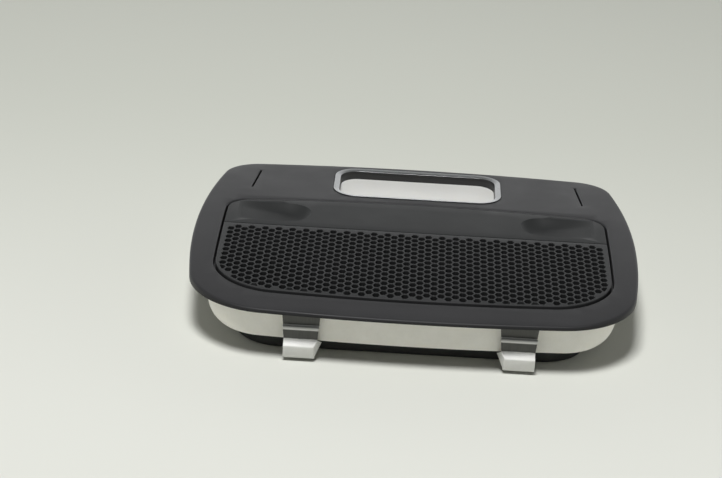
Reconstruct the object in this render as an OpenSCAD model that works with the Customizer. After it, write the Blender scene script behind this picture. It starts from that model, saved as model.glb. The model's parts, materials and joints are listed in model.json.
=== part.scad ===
// Car interior light: a roof lamp module lying face up, as it does on a bench.
// +X is to the right and +Y to the rear, the face looks up, and z = 0 is the surface it lies on.
// The origin is below the middle of the bezel.

/* [Bezel] */
// Width of the bezel at its widest
body_w = 230; // [210:1:250]
// Length of the bezel, front to rear
body_l = 198; // [180:1:215]
// Height of the bezel's edge
bezel_t = 1.6; // [1.4:0.1:2.4]
// Rise of the face's middle over its front and rear edges
crown_rise = 3.3; // [2.4:0.1:4]
// Bow radius of the front edge
front_bow = 900; // [700:10:1200]
// Bow radius of the rear edge
rear_bow = 820; // [600:10:1200]
// Bow radius of the sides
side_bow = 430; // [420:10:700]
// Radius of the front corners
front_corner = 42; // [36:1:45]
// Radius of the rear corners
rear_corner = 21; // [18:1:26]
// Distance from the front edge to the widest line
wide_line = 94; // [85:1:105]
// Width of the lip under the edge, which lies on the roof lining
lip_w = 2.4; // [1.8:0.1:2.8]
// Height of the lip under the edge
lip_h = 0.4; // [0.2:0.1:0.6]
// Width of the rounded edge
edge_w = 1.5; // [1:0.1:2.4]
// Drop of the rounded edge
edge_h = 0.9; // [0.5:0.1:1]

/* [Insert] */
// Width of the bezel's rim beside the opening for the grille and the key
side_rim = 13.6; // [13.4:0.1:17]
// Width of the bezel's rim in front of the opening
front_rim = 18.4; // [18:0.2:20]
// Width of the bezel's rim behind the pocket's ring
rear_rim = 5.4; // [4.6:0.1:8]
// Distance from the opening's front edge to its widest line
insert_wide_line = 87.1; // [75:0.1:95]
// Bow radius of the opening's front edge
insert_front_bow = 900; // [600:10:1500]
// Bow radius of the opening's rear edge
insert_rear_bow = 750; // [600:10:1500]
// Bow radius of the opening's sides
insert_side_bow = 2400; // [1500:50:4000]
// Radius of the opening's front corners
insert_front_corner = 34; // [28:1:36]
// Radius of the opening's rear corners
insert_rear_corner = 13; // [10:1:16]
// Width of the groove around the insert
groove = 1.1; // [0.8:0.1:1.4]
// Width of the seam between the grille and the key
seam = 0.6; // [0.5:0.1:0.9]
// Length of the key, from the seam to the groove
key_l = 37.9; // [36:0.1:39]

/* [Grille] */
// Distance from cell to cell of the honeycomb
cell_pitch = 6.4; // [6.2:0.1:8]
// Width of the web between two cells
cell_web = 1.3; // [1:0.1:1.8]
// Width of the plain border around the cells
grille_border = 3; // [2:0.5:5]

/* [Rocker key] */
// Thickness of the key's skin
key_t = 2.2; // [1.8:0.1:2.6]
// Width of a finger scoop
scoop_w = 25; // [22:0.5:26]
// Depth of a finger scoop at its inner end
scoop_depth = 3.6; // [2.5:0.1:4]
// Wall under a finger scoop
scoop_wall = 1.4; // [1:0.1:1.8]
// Distance from the middle of the key to the tip of a scoop
scoop_tip = 55.5; // [52:0.5:60]
// Distance over which a scoop runs out to nothing
scoop_run = 27; // [22:1:30]
// Distance of a scoop's middle in front of the key's middle
scoop_shift = 0.9; // [0:0.1:2]
// Diameter of the pivot pin
pivot_d = 3; // [2.5:0.1:3.2]
// Running clearance around the pivot pin, on the radius
pivot_fit = 0.05; // [0.03:0.01:0.09]
// Swing of the key to each side in degrees
key_swing = 0.9; // [0.5:0.1:1]
// Distance of a plunger from the middle of the key
plunger_x = 42; // [36:1:46]
// Diameter of a plunger
plunger_d = 4; // [3.4:0.1:4.4]
// Clearance around a sliding plunger, on the radius
plunger_fit = 0.15; // [0.1:0.01:0.2]
// Width of the bracket that carries the key
bracket_l = 14; // [12:0.5:16]
// Thickness of the bracket that carries the key
bracket_t = 2.6; // [2.2:0.1:3]

/* [Pocket] */
// Width of the pocket's ring
pocket_w = 92; // [86:1:96]
// Length of the pocket's ring
pocket_l = 46; // [40:0.5:48]
// Outer corner radius of the pocket's ring
pocket_corner = 13; // [10:0.5:15]
// Distance from the insert's opening to the ring
pocket_gap = 7.5; // [6:0.1:8]
// Width of the ring's band
ring_band = 3; // [2.4:0.1:3.6]
// Height of the ring over the bezel's face
ring_proud = 0.4; // [0.2:0.1:0.6]
// Depth of the lens below the bezel's face
pocket_depth = 6; // [5.4:0.1:6.6]
// Wall of the pocket's well
well_wall = 1.6; // [1.2:0.1:2]
// Reach of the well's two ears beyond the ring
well_ear = 5; // [3:0.5:6]
// Length of the well's ears, front to rear
well_ear_l = 20; // [14:1:26]
// Thickness of the well's ears
well_ear_t = 1.6; // [1.2:0.1:2]
// Thickness of the lens
lens_t = 2; // [1.6:0.1:2.2]
// Thickness of the flange under the lens
lens_flange = 1.4; // [1.2:0.1:1.6]

/* [Microphones] */
// Width of a microphone slit
slit_w = 0.9; // [0.7:0.1:1.2]
// Length of a microphone slit
slit_l = 28; // [22:1:30]
// Distance of a slit's middle from the bezel's side
slit_side = 26; // [24:0.5:29]
// Distance of a slit's middle from the bezel's rear edge
slit_rear = 31; // [29:0.5:35]
// Lean of a slit in degrees
slit_lean = 5.5; // [3:0.5:7]
// Thickness of the seal between the bezel and a microphone
seal_t = 3.5; // [3:0.1:4]
// Diameter of a microphone capsule
mic_d = 6; // [5:0.5:7]
// Height of a microphone capsule
mic_h = 3; // [2.5:0.1:3.5]

/* [Housing] */
// Width of the bezel's overhang beside the tub
side_lip = 9; // [8:0.5:10]
// Width of the bezel's overhang in front of the tub
front_lip = 8; // [7.5:0.1:8.5]
// Width of the bezel's overhang behind the tub
rear_lip = 3; // [2.5:0.1:4]
// Depth of the tub
tub_h = 16.4; // [15.8:0.1:16.6]
// Wall of the tub
tub_wall = 2; // [1.6:0.1:2.2]
// Radius of the tub's front corners
tub_front_corner = 20; // [18:1:24]
// Radius of the tub's rear corners
tub_rear_corner = 20; // [18:1:22]
// Inward reach of the rounding at the tub's sides
tub_round_w = 9; // [7:0.5:10]
// Height of the rounding at the tub's sides
tub_round_h = 13; // [10:0.5:15]
// Reach of a locating hook behind the tub's rear wall
hook_l = 2.4; // [1.8:0.1:2.6]
// Distance of a locating hook from the middle of the tub
hook_x = 52; // [44:1:60]

/* [Lower cover] */
// Distance from the bezel's side to the lower cover
cover_side = 27; // [25:0.5:29]
// Distance from the bezel's front edge to the lower cover
cover_front = 17; // [16:0.5:19]
// Distance from the lower cover to the bezel's rear edge
cover_rear = 31; // [28:0.5:34]
// Height of the lower cover
cover_h = 8.6; // [8.4:0.1:9.2]
// Wall of the lower cover
cover_wall = 2; // [1.6:0.1:2.4]
// Corner radius of the lower cover
cover_corner = 24; // [20:0.5:26]
// Width of the ledge between the cover's side and the window in the tub
window_ledge = 13; // [12.5:0.5:14]
// Corner radius of the window in the tub
window_corner = 8; // [6:0.5:10]
// Distance of the cover's screws from its sides
cover_screw_inset = 12; // [11.5:0.5:12.5]

/* [Boards] */
// Thickness of the circuit boards
board_t = 1.6; // [1:0.1:2]
// Height of the posts under the circuit boards
board_post = 1.6; // [1.4:0.1:2]
// Distance from the tub's side to the circuit board
board_side = 20; // [18:0.5:22]
// Distance from the tub's front to the circuit board
board_front = 14.5; // [14:0.5:17]
// Gap between the circuit board and the pocket's board
board_gap = 2.6; // [2:0.1:4]
// Side of a light-emitting diode
led_a = 3.5; // [2.8:0.1:4]
// Height of a light-emitting diode
led_h = 0.9; // [0.6:0.1:1]
// Side of a switch body
switch_a = 7; // [6.6:0.1:8]
// Height of a switch body
switch_h = 3.6; // [3.4:0.1:3.8]

/* [Light box] */
// Thickness of the diffuser under the grille
diffuser_t = 1.4; // [1.2:0.1:1.6]
// Width of the ledge that carries the diffuser
diffuser_ledge = 3; // [2.5:0.1:4]
// Thickness of the insert frame
frame_t = 3; // [2.8:0.1:3.2]
// Width of the insert frame's rails
frame_rail = 6; // [5:0.5:7]
// Wall of the reflector tray
tray_wall = 1.4; // [1.2:0.1:1.8]
// Gap between the reflector tray and the heads of the board's screws
tray_gap = 5.1; // [4:0.1:8]

/* [Clips] */
// Width of a spring clip
clip_w = 16.5; // [15:0.5:18]
// Thickness of the clip's sheet steel
clip_t = 0.8; // [0.6:0.1:1]
// Distance of a clip from the middle
clip_x = 53; // [48:1:58]
// Height of a clip's foot over the surface that the part lies on
clip_lift = 2; // [1:0.1:3]
// Depth of a clip's foot, front to rear
foot_l = 6.4; // [5.5:0.1:7]
// Height of the foot's front face
foot_h = 5.9; // [5:0.1:6.5]
// Height of the foot's sloping facet
facet_h = 2.8; // [2.2:0.1:3.2]
// Splay of the foot's inner side towards the rear
foot_splay = 3.4; // [2:0.1:4]

/* [Connector] */
// Width of the connector
plug_w = 32; // [28:1:40]
// Length of the connector behind the cover
plug_l = 11; // [9:0.5:13]
// Wall of the connector
plug_wall = 1.2; // [1:0.1:1.4]
// Distance from pin to pin
pin_pitch = 2.54; // [2:0.01:3]
// Width of a pin
pin_a = 0.64; // [0.5:0.01:0.8]

/* [Screws] */
// Diameter of a screw's shank
screw_d = 3; // [2.6:0.1:3.2]
// Diameter of a screw's head
screw_head_d = 5.6; // [5:0.1:6]
// Height of a screw's head
screw_head_h = 1.8; // [1.6:0.1:2]
// Clearance around a screw's shank, on the radius
screw_fit = 0.2; // [0.1:0.05:0.3]
// Outer diameter of a screw boss in the tub
boss_d = 8; // [7.6:0.1:8.6]
// Outer diameter of a screw boss under the bezel
bezel_boss_d = 7; // [6:0.1:7.2]

/* [Hidden] */

// Small step that carries a cut clear of a face
over = 0.5;
// Segments along a bowed side and around a corner
bow_steps = 8;
corner_steps = 12;
// Steps around a rounded edge
edge_steps = 5;

// Front and rear of the bezel
front = -body_l / 2;
rear = body_l / 2;

// Heights of the main levels
cover_z = 0;
tub_z = cover_z + cover_h;
back_z = tub_z + tub_h;
rim_z = back_z + bezel_t;
top_z = rim_z + crown_rise;
crown_r = (body_l * body_l / 4 + crown_rise * crown_rise) / (2 * crown_rise);

// Height of the crowned face at a distance y from the bezel's middle
function face_z(y) = top_z - crown_r + sqrt(crown_r * crown_r - y * y);

// Outlines: width, length, front edge, bow radii of front, rear and sides, corner radii, widest line
bezel_plan = [body_w, body_l, front, front_bow, rear_bow, side_bow,
    front_corner, rear_corner, front + wide_line];
insert_w = body_w - 2 * side_rim;
insert_y = front + front_rim;
pocket_y = rear - rear_rim - pocket_l / 2;
insert_rear = pocket_y - pocket_l / 2 - pocket_gap;
insert_l = insert_rear - insert_y;
insert_plan = [insert_w, insert_l, insert_y, insert_front_bow, insert_rear_bow, insert_side_bow,
    insert_front_corner, insert_rear_corner, insert_y + insert_wide_line];
tub_w = body_w - 2 * side_lip;
tub_l = body_l - front_lip - rear_lip;
tub_y = front + front_lip;
tub_plan = [tub_w, tub_l, tub_y, front_bow, rear_bow, side_bow,
    tub_front_corner, tub_rear_corner, front + wide_line];

// Where two circles meet, on the side that the sign picks
function meet(p, rp, q, rq, sign) =
    let (v = q - p, d = norm(v), a = (rp * rp - rq * rq + d * d) / (2 * d), h = sqrt(rp * rp - a * a))
    p + v * a / d + sign * h * [-v.y, v.x] / d;

// Direction from one point to another
function heading(p, q) = atan2(q.y - p.y, q.x - p.x);

// Points of an arc, without its last one
function arc(c, r, a0, a1, n) =
    [for (i = [0:n - 1]) let (a = a0 + (a1 - a0) * i / n) c + r * [cos(a), sin(a)]];

// Right half of an outline that is drawn in by d, from the front to the rear
function half_outline(s, d) =
    let (f = [0, s[2] + s[3]], r = [0, s[2] + s[1] - s[4]], q = [s[0] / 2 - s[5], s[8]],
        cf = meet(f, s[3] - s[6], q, s[5] - s[6], 1), cr = meet(r, s[4] - s[7], q, s[5] - s[7], -1),
        a1 = heading(f, cf), a2 = heading(q, cf), a3 = heading(q, cr), a4 = heading(r, cr))
    concat(arc(f, s[3] - d, -90, a1, bow_steps), arc(cf, s[6] - d, a1, a2, corner_steps),
        arc(q, s[5] - d, a2, a3, bow_steps), arc(cr, s[7] - d, a3, a4, corner_steps),
        arc(r, s[4] - d, a4, 90, bow_steps), [r + [0, s[4] - d]]);

// Whole outline that is drawn in by d, anticlockwise from the middle of the front
function outline(s, d = 0) =
    let (h = half_outline(s, d), n = len(h))
    concat(h, [for (i = [n - 2:-1:1]) [-h[i].x, h[i].y]]);

// Outline as a flat shape
module plan(s, d = 0) polygon(outline(s, d));

// Rectangle with round corners, middle at the origin
module round_rect(w, l, r) {
    square([w - 2 * r, l], center = true);
    square([w, l - 2 * r], center = true);
    for (x = [-1, 1], y = [-1, 1]) translate([x * (w / 2 - r), y * (l / 2 - r)]) circle(r, $fn = 48);
}

// Everything under the crowned face, sunk by the given depth
crown_steps = 24;
crown_points = [for (i = [0:crown_steps]) let (y = (i / crown_steps - 0.5) * body_l) [y, face_z(y)]];

module under_crown(sink = 0) {
    translate([-body_w / 2 - over, 0, -sink]) rotate([90, 0, 90]) linear_extrude(body_w + 2 * over)
        polygon(concat(crown_points, [[rear, 0], [front, 0]]));
}

// Plate with a crowned face and a rounded edge, as rings of points from the back to the face
module crowned_plate(s, z) {
    rings = [for (k = [-1:edge_steps]) let (a = 90 * max(k, 0) / edge_steps)
        [edge_w * (1 - cos(a)), edge_h * (1 - sin(a)), k < 0]];
    half = half_outline(s, 0);
    m = len(half) - 1;
    n = 2 * m;
    points = [for (r = rings) for (p = outline(s, r[0])) [p.x, p.y, r[2] ? z : face_z(p.y) - r[1]]];
    last = (len(rings) - 1) * n;
    walls = [for (k = [0:len(rings) - 2]) for (i = [0:n - 1])
        let (a = k * n + i, b = k * n + (i + 1) % n) each [[a, a + n, b + n], [a, b + n, b]]];
    face = [for (i = [0:m - 1]) let (a = last + i, b = last + (n - i) % n,
        c = last + i + 1, d = last + n - i - 1)
        each (i == 0 ? [[a, d, c]] : i == m - 1 ? [[a, b, c]] : [[a, b, d], [a, d, c]])];
    polyhedron(points, concat(walls, face, [[for (i = [0:n - 1]) i]]), convexity = 4);
}

// Round post with a hole along it, standing on z = 0
module post(d, h, bore_r) {
    difference() {
        cylinder(d = d, h = h, $fn = 48);
        translate([0, 0, -over]) cylinder(r = bore_r, h = h + 2 * over, $fn = 32);
    }
}

// Screw pointing up, with its head below z = 0
module screw_up(l) {
    cylinder(d = screw_d, h = l, $fn = 32);
    translate([0, 0, -screw_head_h]) difference() {
        cylinder(d = screw_head_d, h = screw_head_h, $fn = 48);
        translate([0, 0, -over]) cylinder(d = screw_head_d / 2, h = screw_head_h / 2 + over, $fn = 6);
    }
}

// Copies a child to both sides, the left one mirrored
module both_sides() {
    children();
    mirror([1, 0, 0]) children();
}

// Seam between the grille and the key
seam_y = insert_rear - groove - key_l - seam / 2;
key_y = (seam_y + insert_rear - groove) / 2;

// Insert frame under the bezel, with the diffuser in its recess
frame_z = back_z - frame_t;
frame_seat = 1;
grille_seat = 2.4;
diffuser_fit = 0.3;
seam_bar = 5;
diffuser_z = back_z - diffuser_fit - diffuser_t;

module insert_part(d, y0, y1) {
    intersection() {
        plan(insert_plan, d);
        translate([-body_w / 2, y0]) square([body_w, y1 - y0]);
    }
}

module bezel() {
    color("#3b3c3c") {
        difference() {
            crowned_plate(bezel_plan, back_z - lip_h);
            translate([0, 0, back_z - lip_h - over]) linear_extrude(lip_h + over) plan(bezel_plan, lip_w);
            translate([0, 0, back_z - over]) linear_extrude(top_z - back_z + 2 * over) {
                plan(insert_plan);
                translate([0, pocket_y]) round_rect(pocket_w + 2 * ring_fit, pocket_l + 2 * ring_fit,
                    pocket_corner + ring_fit);
                both_sides() slit_place() square([slit_w, slit_l], center = true);
            }
        }
        for (p = housing_screw_places) translate([p.x, p.y, back_z - bezel_boss_h])
            post(bezel_boss_d, bezel_boss_h + boss_root, screw_d / 2);
    }
}

module insert_frame() {
    color("#2f3030") translate([0, 0, frame_z]) difference() {
        linear_extrude(frame_t) plan(insert_plan, -frame_seat);
        translate([0, 0, -over]) linear_extrude(frame_t + 2 * over) {
            insert_part(groove + grille_seat + diffuser_ledge, front, seam_y - seam_bar / 2 - diffuser_ledge);
            insert_part(frame_rail, seam_y + seam_bar / 2, rear);
        }
        translate([0, 0, diffuser_z - frame_z]) linear_extrude(frame_t)
            insert_part(groove + grille_seat, front, seam_y - seam_bar / 2);
        for (x = [-1, 1]) translate([x * bracket_screw_x, key_y, -over])
            cylinder(d = screw_d, h = frame_t + 2 * over, $fn = 32);
    }
}

// Distance from a point to the nearest side of a closed outline, positive inside
function depth_in(p, pts) = min([for (i = [0:len(pts) - 1])
    let (a = pts[i], b = pts[(i + 1) % len(pts)], d = (b - a) / norm(b - a))
    d.x * (p.y - a.y) - d.y * (p.x - a.x)]);

// Honeycomb cells that lie whole inside the grille's border
cell_r = (cell_pitch - cell_web) / sqrt(3);
cell_step = cell_pitch * sqrt(3) / 2;
grille_rear = seam_y - seam / 2;
grille_outline = outline(insert_plan, groove + grille_border + cell_r);
cell_columns = ceil(insert_w / 2 / cell_step);
cell_rows = ceil(insert_l / cell_pitch);
cells = [for (i = [-cell_columns:cell_columns]) for (j = [0:cell_rows])
    let (p = [i * cell_step, grille_rear - grille_border - cell_r - cell_pitch * (j + (abs(i) % 2) / 2)])
    if (p.y > insert_y && depth_in(p, grille_outline) >= 0) p];

module louvre_grille() {
    color("#363736") intersection() {
        translate([0, 0, back_z]) linear_extrude(top_z - back_z + over) difference() {
            insert_part(groove, front, grille_rear);
            for (p = cells) translate(p) circle(cell_r, $fn = 6);
        }
        under_crown();
    }
}

module light_diffuser() {
    color("#8f908c") translate([0, 0, diffuser_z]) linear_extrude(diffuser_t)
        insert_part(groove + grille_seat + diffuser_fit, front, seam_y - seam_bar / 2 - diffuser_fit);
}

// Circuit boards on the floor of the tub
floor_top = tub_z + tub_wall;
board_z = floor_top + board_post;
board_top = board_z + board_t;
pocket_board_w = 76;
pocket_board_l = 34;
pocket_board_y = pocket_y - pocket_board_l / 2;
board_w = tub_w - 2 * board_side;
board_y = tub_y + board_front;
board_l = pocket_board_y - board_gap - board_y;
board_corner = 4;

// Places of the board screws and their posts
board_post_d = 7;
board_post_side = 6;
board_post_front = 25;
board_post_rear = 36;
board_post_x = board_w / 2 - board_post_side;
board_post_y = [board_y + board_post_front, board_y + board_l - board_post_rear];
board_screw_h = board_post + board_t + tub_wall / 2;

// Reflector tray between the circuit board and the insert frame
tray_y = insert_y + groove + grille_seat + diffuser_ledge;
tray_l = seam_y - seam_bar / 2 - diffuser_ledge - tray_y;
tray_w = 2 * (board_post_x - screw_head_d / 2 - tray_gap);
tray_cell = (tray_w - 3 * tray_wall) / 2;
tray_corner = 4;

module reflector_tray() {
    color("#dcdcd4") translate([0, tray_y + tray_l / 2, board_top]) difference() {
        linear_extrude(frame_z - board_top) round_rect(tray_w, tray_l, tray_corner);
        for (x = [-1, 1]) translate([x * (tray_cell + tray_wall) / 2, 0, tray_wall])
            linear_extrude(frame_z - board_top)
                round_rect(tray_cell, tray_l - 2 * tray_wall, tray_corner - tray_wall);
        for (p = led_places) translate([p.x, p.y, -over]) linear_extrude(tray_wall + 2 * over)
            square(led_a + 2 * led_gap, center = true);
    }
}

module reading_leds() {
    color("#e8dd9a") translate([0, tray_y + tray_l / 2, board_top])
        for (p = led_places) translate([p.x, p.y, 0]) linear_extrude(led_h) square(led_a, center = true);
}

// Light-emitting diodes under the grille, measured from the tray's middle
led_gap = 0.6;
led_step_x = 22;
led_step_y = 26;
led_places = [for (s = [-1, 1]) for (i = [-1:1]) for (j = [-1, 1])
    [s * (tray_cell + tray_wall) / 2 + i * led_step_x, j * led_step_y / 2]];

// Rocker key with its two finger scoops, and what it turns and presses on
scoop_r = (scoop_w * scoop_w / 4 + scoop_depth * scoop_depth) / (2 * scoop_depth);
scoop_x = scoop_tip + scoop_w / 2;
scoop_tilt = atan(scoop_depth / scoop_run);
key_face = face_z(key_y);
pivot_drop = 1.6;
pivot_z = back_z - pivot_drop;
lug_r = 3;
ear_t = 3;
ear_gap = 0.4;
ear_w = 8;
lug_l = bracket_l - 2 * ear_t - 2 * ear_gap;
pad_r = 3;
pad_drop = 2.4;
pad_z = key_face - key_t - pad_drop;

module scoop(r) {
    translate([scoop_x, key_y - scoop_shift, key_face + scoop_r - scoop_depth])
        rotate([0, 90 - scoop_tilt, 0]) rotate_extrude($fn = 96) intersection() {
            union() {
                circle(r, $fn = 96);
                translate([-r, 0]) square([2 * r, 2 * scoop_run]);
            }
            translate([0, -r]) square([r, r + 2 * scoop_run]);
        }
}

module rocker_key() {
    color("#414240") difference() {
        union() {
            intersection() {
                translate([0, 0, frame_z]) linear_extrude(top_z - frame_z + over)
                    insert_part(groove, seam_y + seam / 2, rear);
                under_crown();
                union() {
                    difference() {
                        translate([-body_w / 2, front, frame_z])
                            cube([body_w, body_l, top_z - frame_z + over]);
                        under_crown(key_t);
                    }
                    both_sides() scoop(scoop_r + scoop_wall);
                }
            }
            intersection() {
                union() {
                    translate([0, key_y, pivot_z]) rotate([90, 0, 0])
                        cylinder(r = lug_r, h = lug_l, center = true, $fn = 48);
                    translate([-lug_r, key_y - lug_l / 2, pivot_z])
                        cube([2 * lug_r, lug_l, top_z - pivot_z]);
                    both_sides() translate([plunger_x, key_y, pad_z])
                        cylinder(r = pad_r, h = top_z - pad_z, $fn = 48);
                }
                under_crown(key_t / 2);
            }
        }
        both_sides() scoop(scoop_r);
        translate([0, key_y, pivot_z]) rotate([90, 0, 0])
            cylinder(r = pivot_d / 2 + pivot_fit, h = lug_l + 2 * over, center = true, $fn = 48);
    }
}

module pivot_pin() {
    color("#b4b6b8") translate([0, key_y, pivot_z]) rotate([90, 0, 0])
        cylinder(d = pivot_d, h = bracket_l, center = true, $fn = 48);
}

// Bracket that hangs under the insert frame and carries the pin and the plungers
bracket_z = frame_z - bracket_t;
bracket_w = insert_w - 2 * groove;
bracket_screw_x = (insert_w - frame_rail) / 2;

module rocker_bracket() {
    color("#565856") difference() {
        translate([0, key_y, bracket_z]) {
            translate([-bracket_w / 2, -bracket_l / 2, 0]) cube([bracket_w, bracket_l, bracket_t]);
            for (y = [-1, 1]) translate([0, y * (bracket_l - ear_t) / 2, 0]) {
                translate([-ear_w / 2, -ear_t / 2, 0]) cube([ear_w, ear_t, pivot_z - bracket_z]);
                translate([0, 0, pivot_z - bracket_z]) rotate([90, 0, 0])
                    cylinder(d = ear_w - 2, h = ear_t, center = true, $fn = 48);
            }
        }
        translate([-ear_w / 2 - ear_gap, key_y - lug_l / 2 - ear_gap, bracket_z - over])
            cube([ear_w + 2 * ear_gap, lug_l + 2 * ear_gap, bracket_t + 2 * over]);
        translate([0, key_y, pivot_z]) rotate([90, 0, 0])
            cylinder(d = pivot_d, h = bracket_l + 2 * over, center = true, $fn = 48);
        for (x = [-1, 1]) translate([x * plunger_x, key_y, bracket_z - over])
            cylinder(r = plunger_d / 2 + plunger_fit, h = bracket_t + 2 * over, $fn = 48);
        for (x = [-1, 1]) translate([x * bracket_screw_x, key_y, bracket_z - over])
            cylinder(r = screw_d / 2 + screw_fit, h = bracket_t + 2 * over, $fn = 32);
    }
}

module bracket_screws() {
    color("#9a9c9e") for (x = [-1, 1]) translate([x * bracket_screw_x, key_y, bracket_z])
        screw_up(bracket_t + frame_t - over);
}

// Switches and their plungers under the key
key_travel = plunger_x * tan(key_swing);
plunger_gap = 0.15;
switch_floor = 0.6;
switch_play = 0.3;
plunger_z = board_top + switch_floor + switch_play + key_travel;

module switch_at(x) {
    color("#23282b") translate([x, key_y, board_top]) difference() {
        translate([-switch_a / 2, -switch_a / 2, 0]) cube([switch_a, switch_a, switch_h]);
        translate([0, 0, switch_floor]) cylinder(r = plunger_d / 2 + plunger_fit, h = switch_h, $fn = 48);
    }
}

module plunger_at(x) {
    color("#d8d6cc") translate([x, key_y, plunger_z])
        cylinder(d = plunger_d, h = pad_z - plunger_gap - plunger_z, $fn = 48);
}

module left_plunger() plunger_at(-plunger_x);
module right_plunger() plunger_at(plunger_x);
module left_switch() switch_at(-plunger_x);
module right_switch() switch_at(plunger_x);

module circuit_board() {
    color("#1f5a3c") difference() {
        translate([0, board_y + board_l / 2, board_z]) linear_extrude(board_t)
            round_rect(board_w, board_l, board_corner);
        for (x = [-1, 1], y = board_post_y) translate([x * board_post_x, y, board_z - over])
            cylinder(r = screw_d / 2 + screw_fit, h = board_t + 2 * over, $fn = 32);
        for (x = pin_places) translate([x, pin_board_y, board_z])
            cube([pin_a, pin_a, 2 * board_t + over], center = true);
    }
}

// Parts soldered under the circuit board: x, y, width, length and height
chip_places = [[-48, -30, 16, 16, 2.2], [-20, -34, 10, 8, 3], [8, -30, 12, 12, 2], [40, -32, 9, 9, 5],
    [-52, 6, 8, 14, 3.4], [-26, 4, 14, 10, 1.8], [2, 8, 20, 14, 2.4], [34, 2, 12, 8, 4], [54, 12, 7, 7, 5.4],
    [-40, 34, 18, 8, 2.6], [46, 36, 14, 10, 2]];

module driver_chips() {
    color("#2a2c2e") for (c = chip_places)
        translate([c[0] - c[2] / 2, board_y + board_l / 2 + c[1] - c[3] / 2, board_z - c[4]])
            cube([c[2], c[3], c[4]]);
}

module board_screws() {
    color("#9a9c9e") {
        for (x = [-1, 1], y = board_post_y) translate([x * board_post_x, y, board_top])
            mirror([0, 0, 1]) screw_up(board_screw_h);
        for (x = [-1, 1]) translate([x * pocket_post_x, pocket_y, board_top])
            mirror([0, 0, 1]) screw_up(board_screw_h);
    }
}

// Flat lead between the two boards
jumper_w = 20;
jumper_t = 0.3;
jumper_lap = 4;
jumper_x = 26;

module board_jumper() {
    color("#c9b26a") translate([jumper_x - jumper_w / 2, board_y + board_l - jumper_lap, board_top])
        cube([jumper_w, pocket_board_y - board_y - board_l + 2 * jumper_lap, jumper_t]);
}

// Pocket: a ring in the bezel, a dark well below it and a lens at the bottom
ring_fit = 0.1;
lens_fit = 0.15;
pocket_face = face_z(pocket_y);
lens_top = pocket_face - pocket_depth;
well_z = lens_top - lens_t;
well_inset = ring_band - well_wall;

module pocket_plan(d) {
    translate([0, pocket_y]) round_rect(pocket_w - 2 * d, pocket_l - 2 * d, pocket_corner - d);
}

module pocket_ring() {
    color("#b9babc") intersection() {
        translate([0, 0, back_z]) linear_extrude(top_z - back_z + ring_proud) difference() {
            pocket_plan(0);
            pocket_plan(ring_band);
        }
        under_crown(-ring_proud);
    }
}

module pocket_well() {
    color("#2c2d2e") translate([0, 0, well_z]) {
        linear_extrude(back_z - well_z) difference() {
            pocket_plan(well_inset);
            pocket_plan(ring_band);
        }
        translate([0, 0, back_z - well_z - well_ear_t]) linear_extrude(well_ear_t) difference() {
            translate([0, pocket_y]) round_rect(pocket_w + 2 * well_ear, well_ear_l, tray_corner);
            pocket_plan(ring_band);
        }
    }
}

module pocket_lens() {
    color("#e4e4dd") {
        translate([0, 0, well_z]) linear_extrude(lens_t) pocket_plan(ring_band + lens_fit);
        translate([0, 0, well_z - lens_flange]) linear_extrude(lens_flange) pocket_plan(well_inset);
    }
}

// Board and diodes under the lens
pocket_post_side = 5;
pocket_post_x = pocket_board_w / 2 - pocket_post_side;
pocket_led_step = 16;

module pocket_board() {
    color("#1f5a3c") translate([0, pocket_y, board_z]) difference() {
        linear_extrude(board_t) round_rect(pocket_board_w, pocket_board_l, board_corner);
        for (x = [-1, 1]) translate([x * pocket_post_x, 0, -over])
            cylinder(r = screw_d / 2 + screw_fit, h = board_t + 2 * over, $fn = 32);
    }
}

module pocket_leds() {
    color("#e8dd9a") translate([0, pocket_y, board_top]) for (i = [-1:1], j = [-1, 1])
        translate([i * pocket_led_step, j * pocket_led_step / 2, 0]) linear_extrude(led_h)
            square(led_a, center = true);
}

// Microphone slits in the bezel, with a seal and a capsule under each
seal_margin = 1.5;
seal_w = 7;

slit_x = body_w / 2 - slit_side;
slit_y = rear - slit_rear;

module slit_place() translate([slit_x, slit_y]) rotate(slit_lean) children();

module seal() {
    color("#4a4b4c") translate([0, 0, back_z - seal_t]) linear_extrude(seal_t) slit_place() difference() {
        square([seal_w, slit_l + 2 * seal_margin], center = true);
        square([slit_w, slit_l], center = true);
    }
}

module capsule() {
    color("#a9abad") translate([slit_x, slit_y, back_z - seal_t - mic_h])
        cylinder(d = mic_d, h = mic_h, $fn = 48);
}

module left_mic_seal() mirror([1, 0, 0]) seal();
module right_mic_seal() seal();
module left_microphone() mirror([1, 0, 0]) capsule();
module right_microphone() capsule();

// Screws that hold the tub to the bezel
bezel_boss_h = 8;
boss_root = 0.8;
head_fit = 0.3;
head_sink = 4;
head_seat_z = tub_z + head_sink;
front_screw_x = 78;
front_screw_y = 17.5;
rear_screw_x = 64;
rear_screw_y = 16;
housing_screw_places = [for (s = [-1, 1]) each [[s * front_screw_x, front + front_screw_y],
    [s * rear_screw_x, rear - rear_screw_y]]];

// Screws that hold the lower cover to the tub
cover_w = body_w - 2 * cover_side;
cover_l = body_l - cover_front - cover_rear;
cover_y = front + cover_front;
cover_mid = cover_y + cover_l / 2;
cover_head_sink = 3;
cover_seat_z = cover_z + cover_head_sink;
cover_screw_places = [for (x = [-1, 1]) for (y = [-1, 1])
    [x * (cover_w / 2 - cover_screw_inset), cover_mid + y * (cover_l / 2 - cover_screw_inset)]];

// Tub outline, narrower by the given reach on each side
function narrow_tub(reach) = concat([tub_w - 2 * reach], [for (i = [1:len(tub_plan) - 1]) tub_plan[i]]);

// Tub with its sides rounded at the steps, drawn in by d and cut off at a height
module tub_body(d, top) {
    hull() for (k = [0:edge_steps]) {
        a = 90 * k / edge_steps;
        z = tub_z + tub_round_h * (1 - cos(a));
        translate([0, 0, z]) linear_extrude(top - z) plan(narrow_tub(tub_round_w * (1 - sin(a))), d);
    }
}

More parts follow.
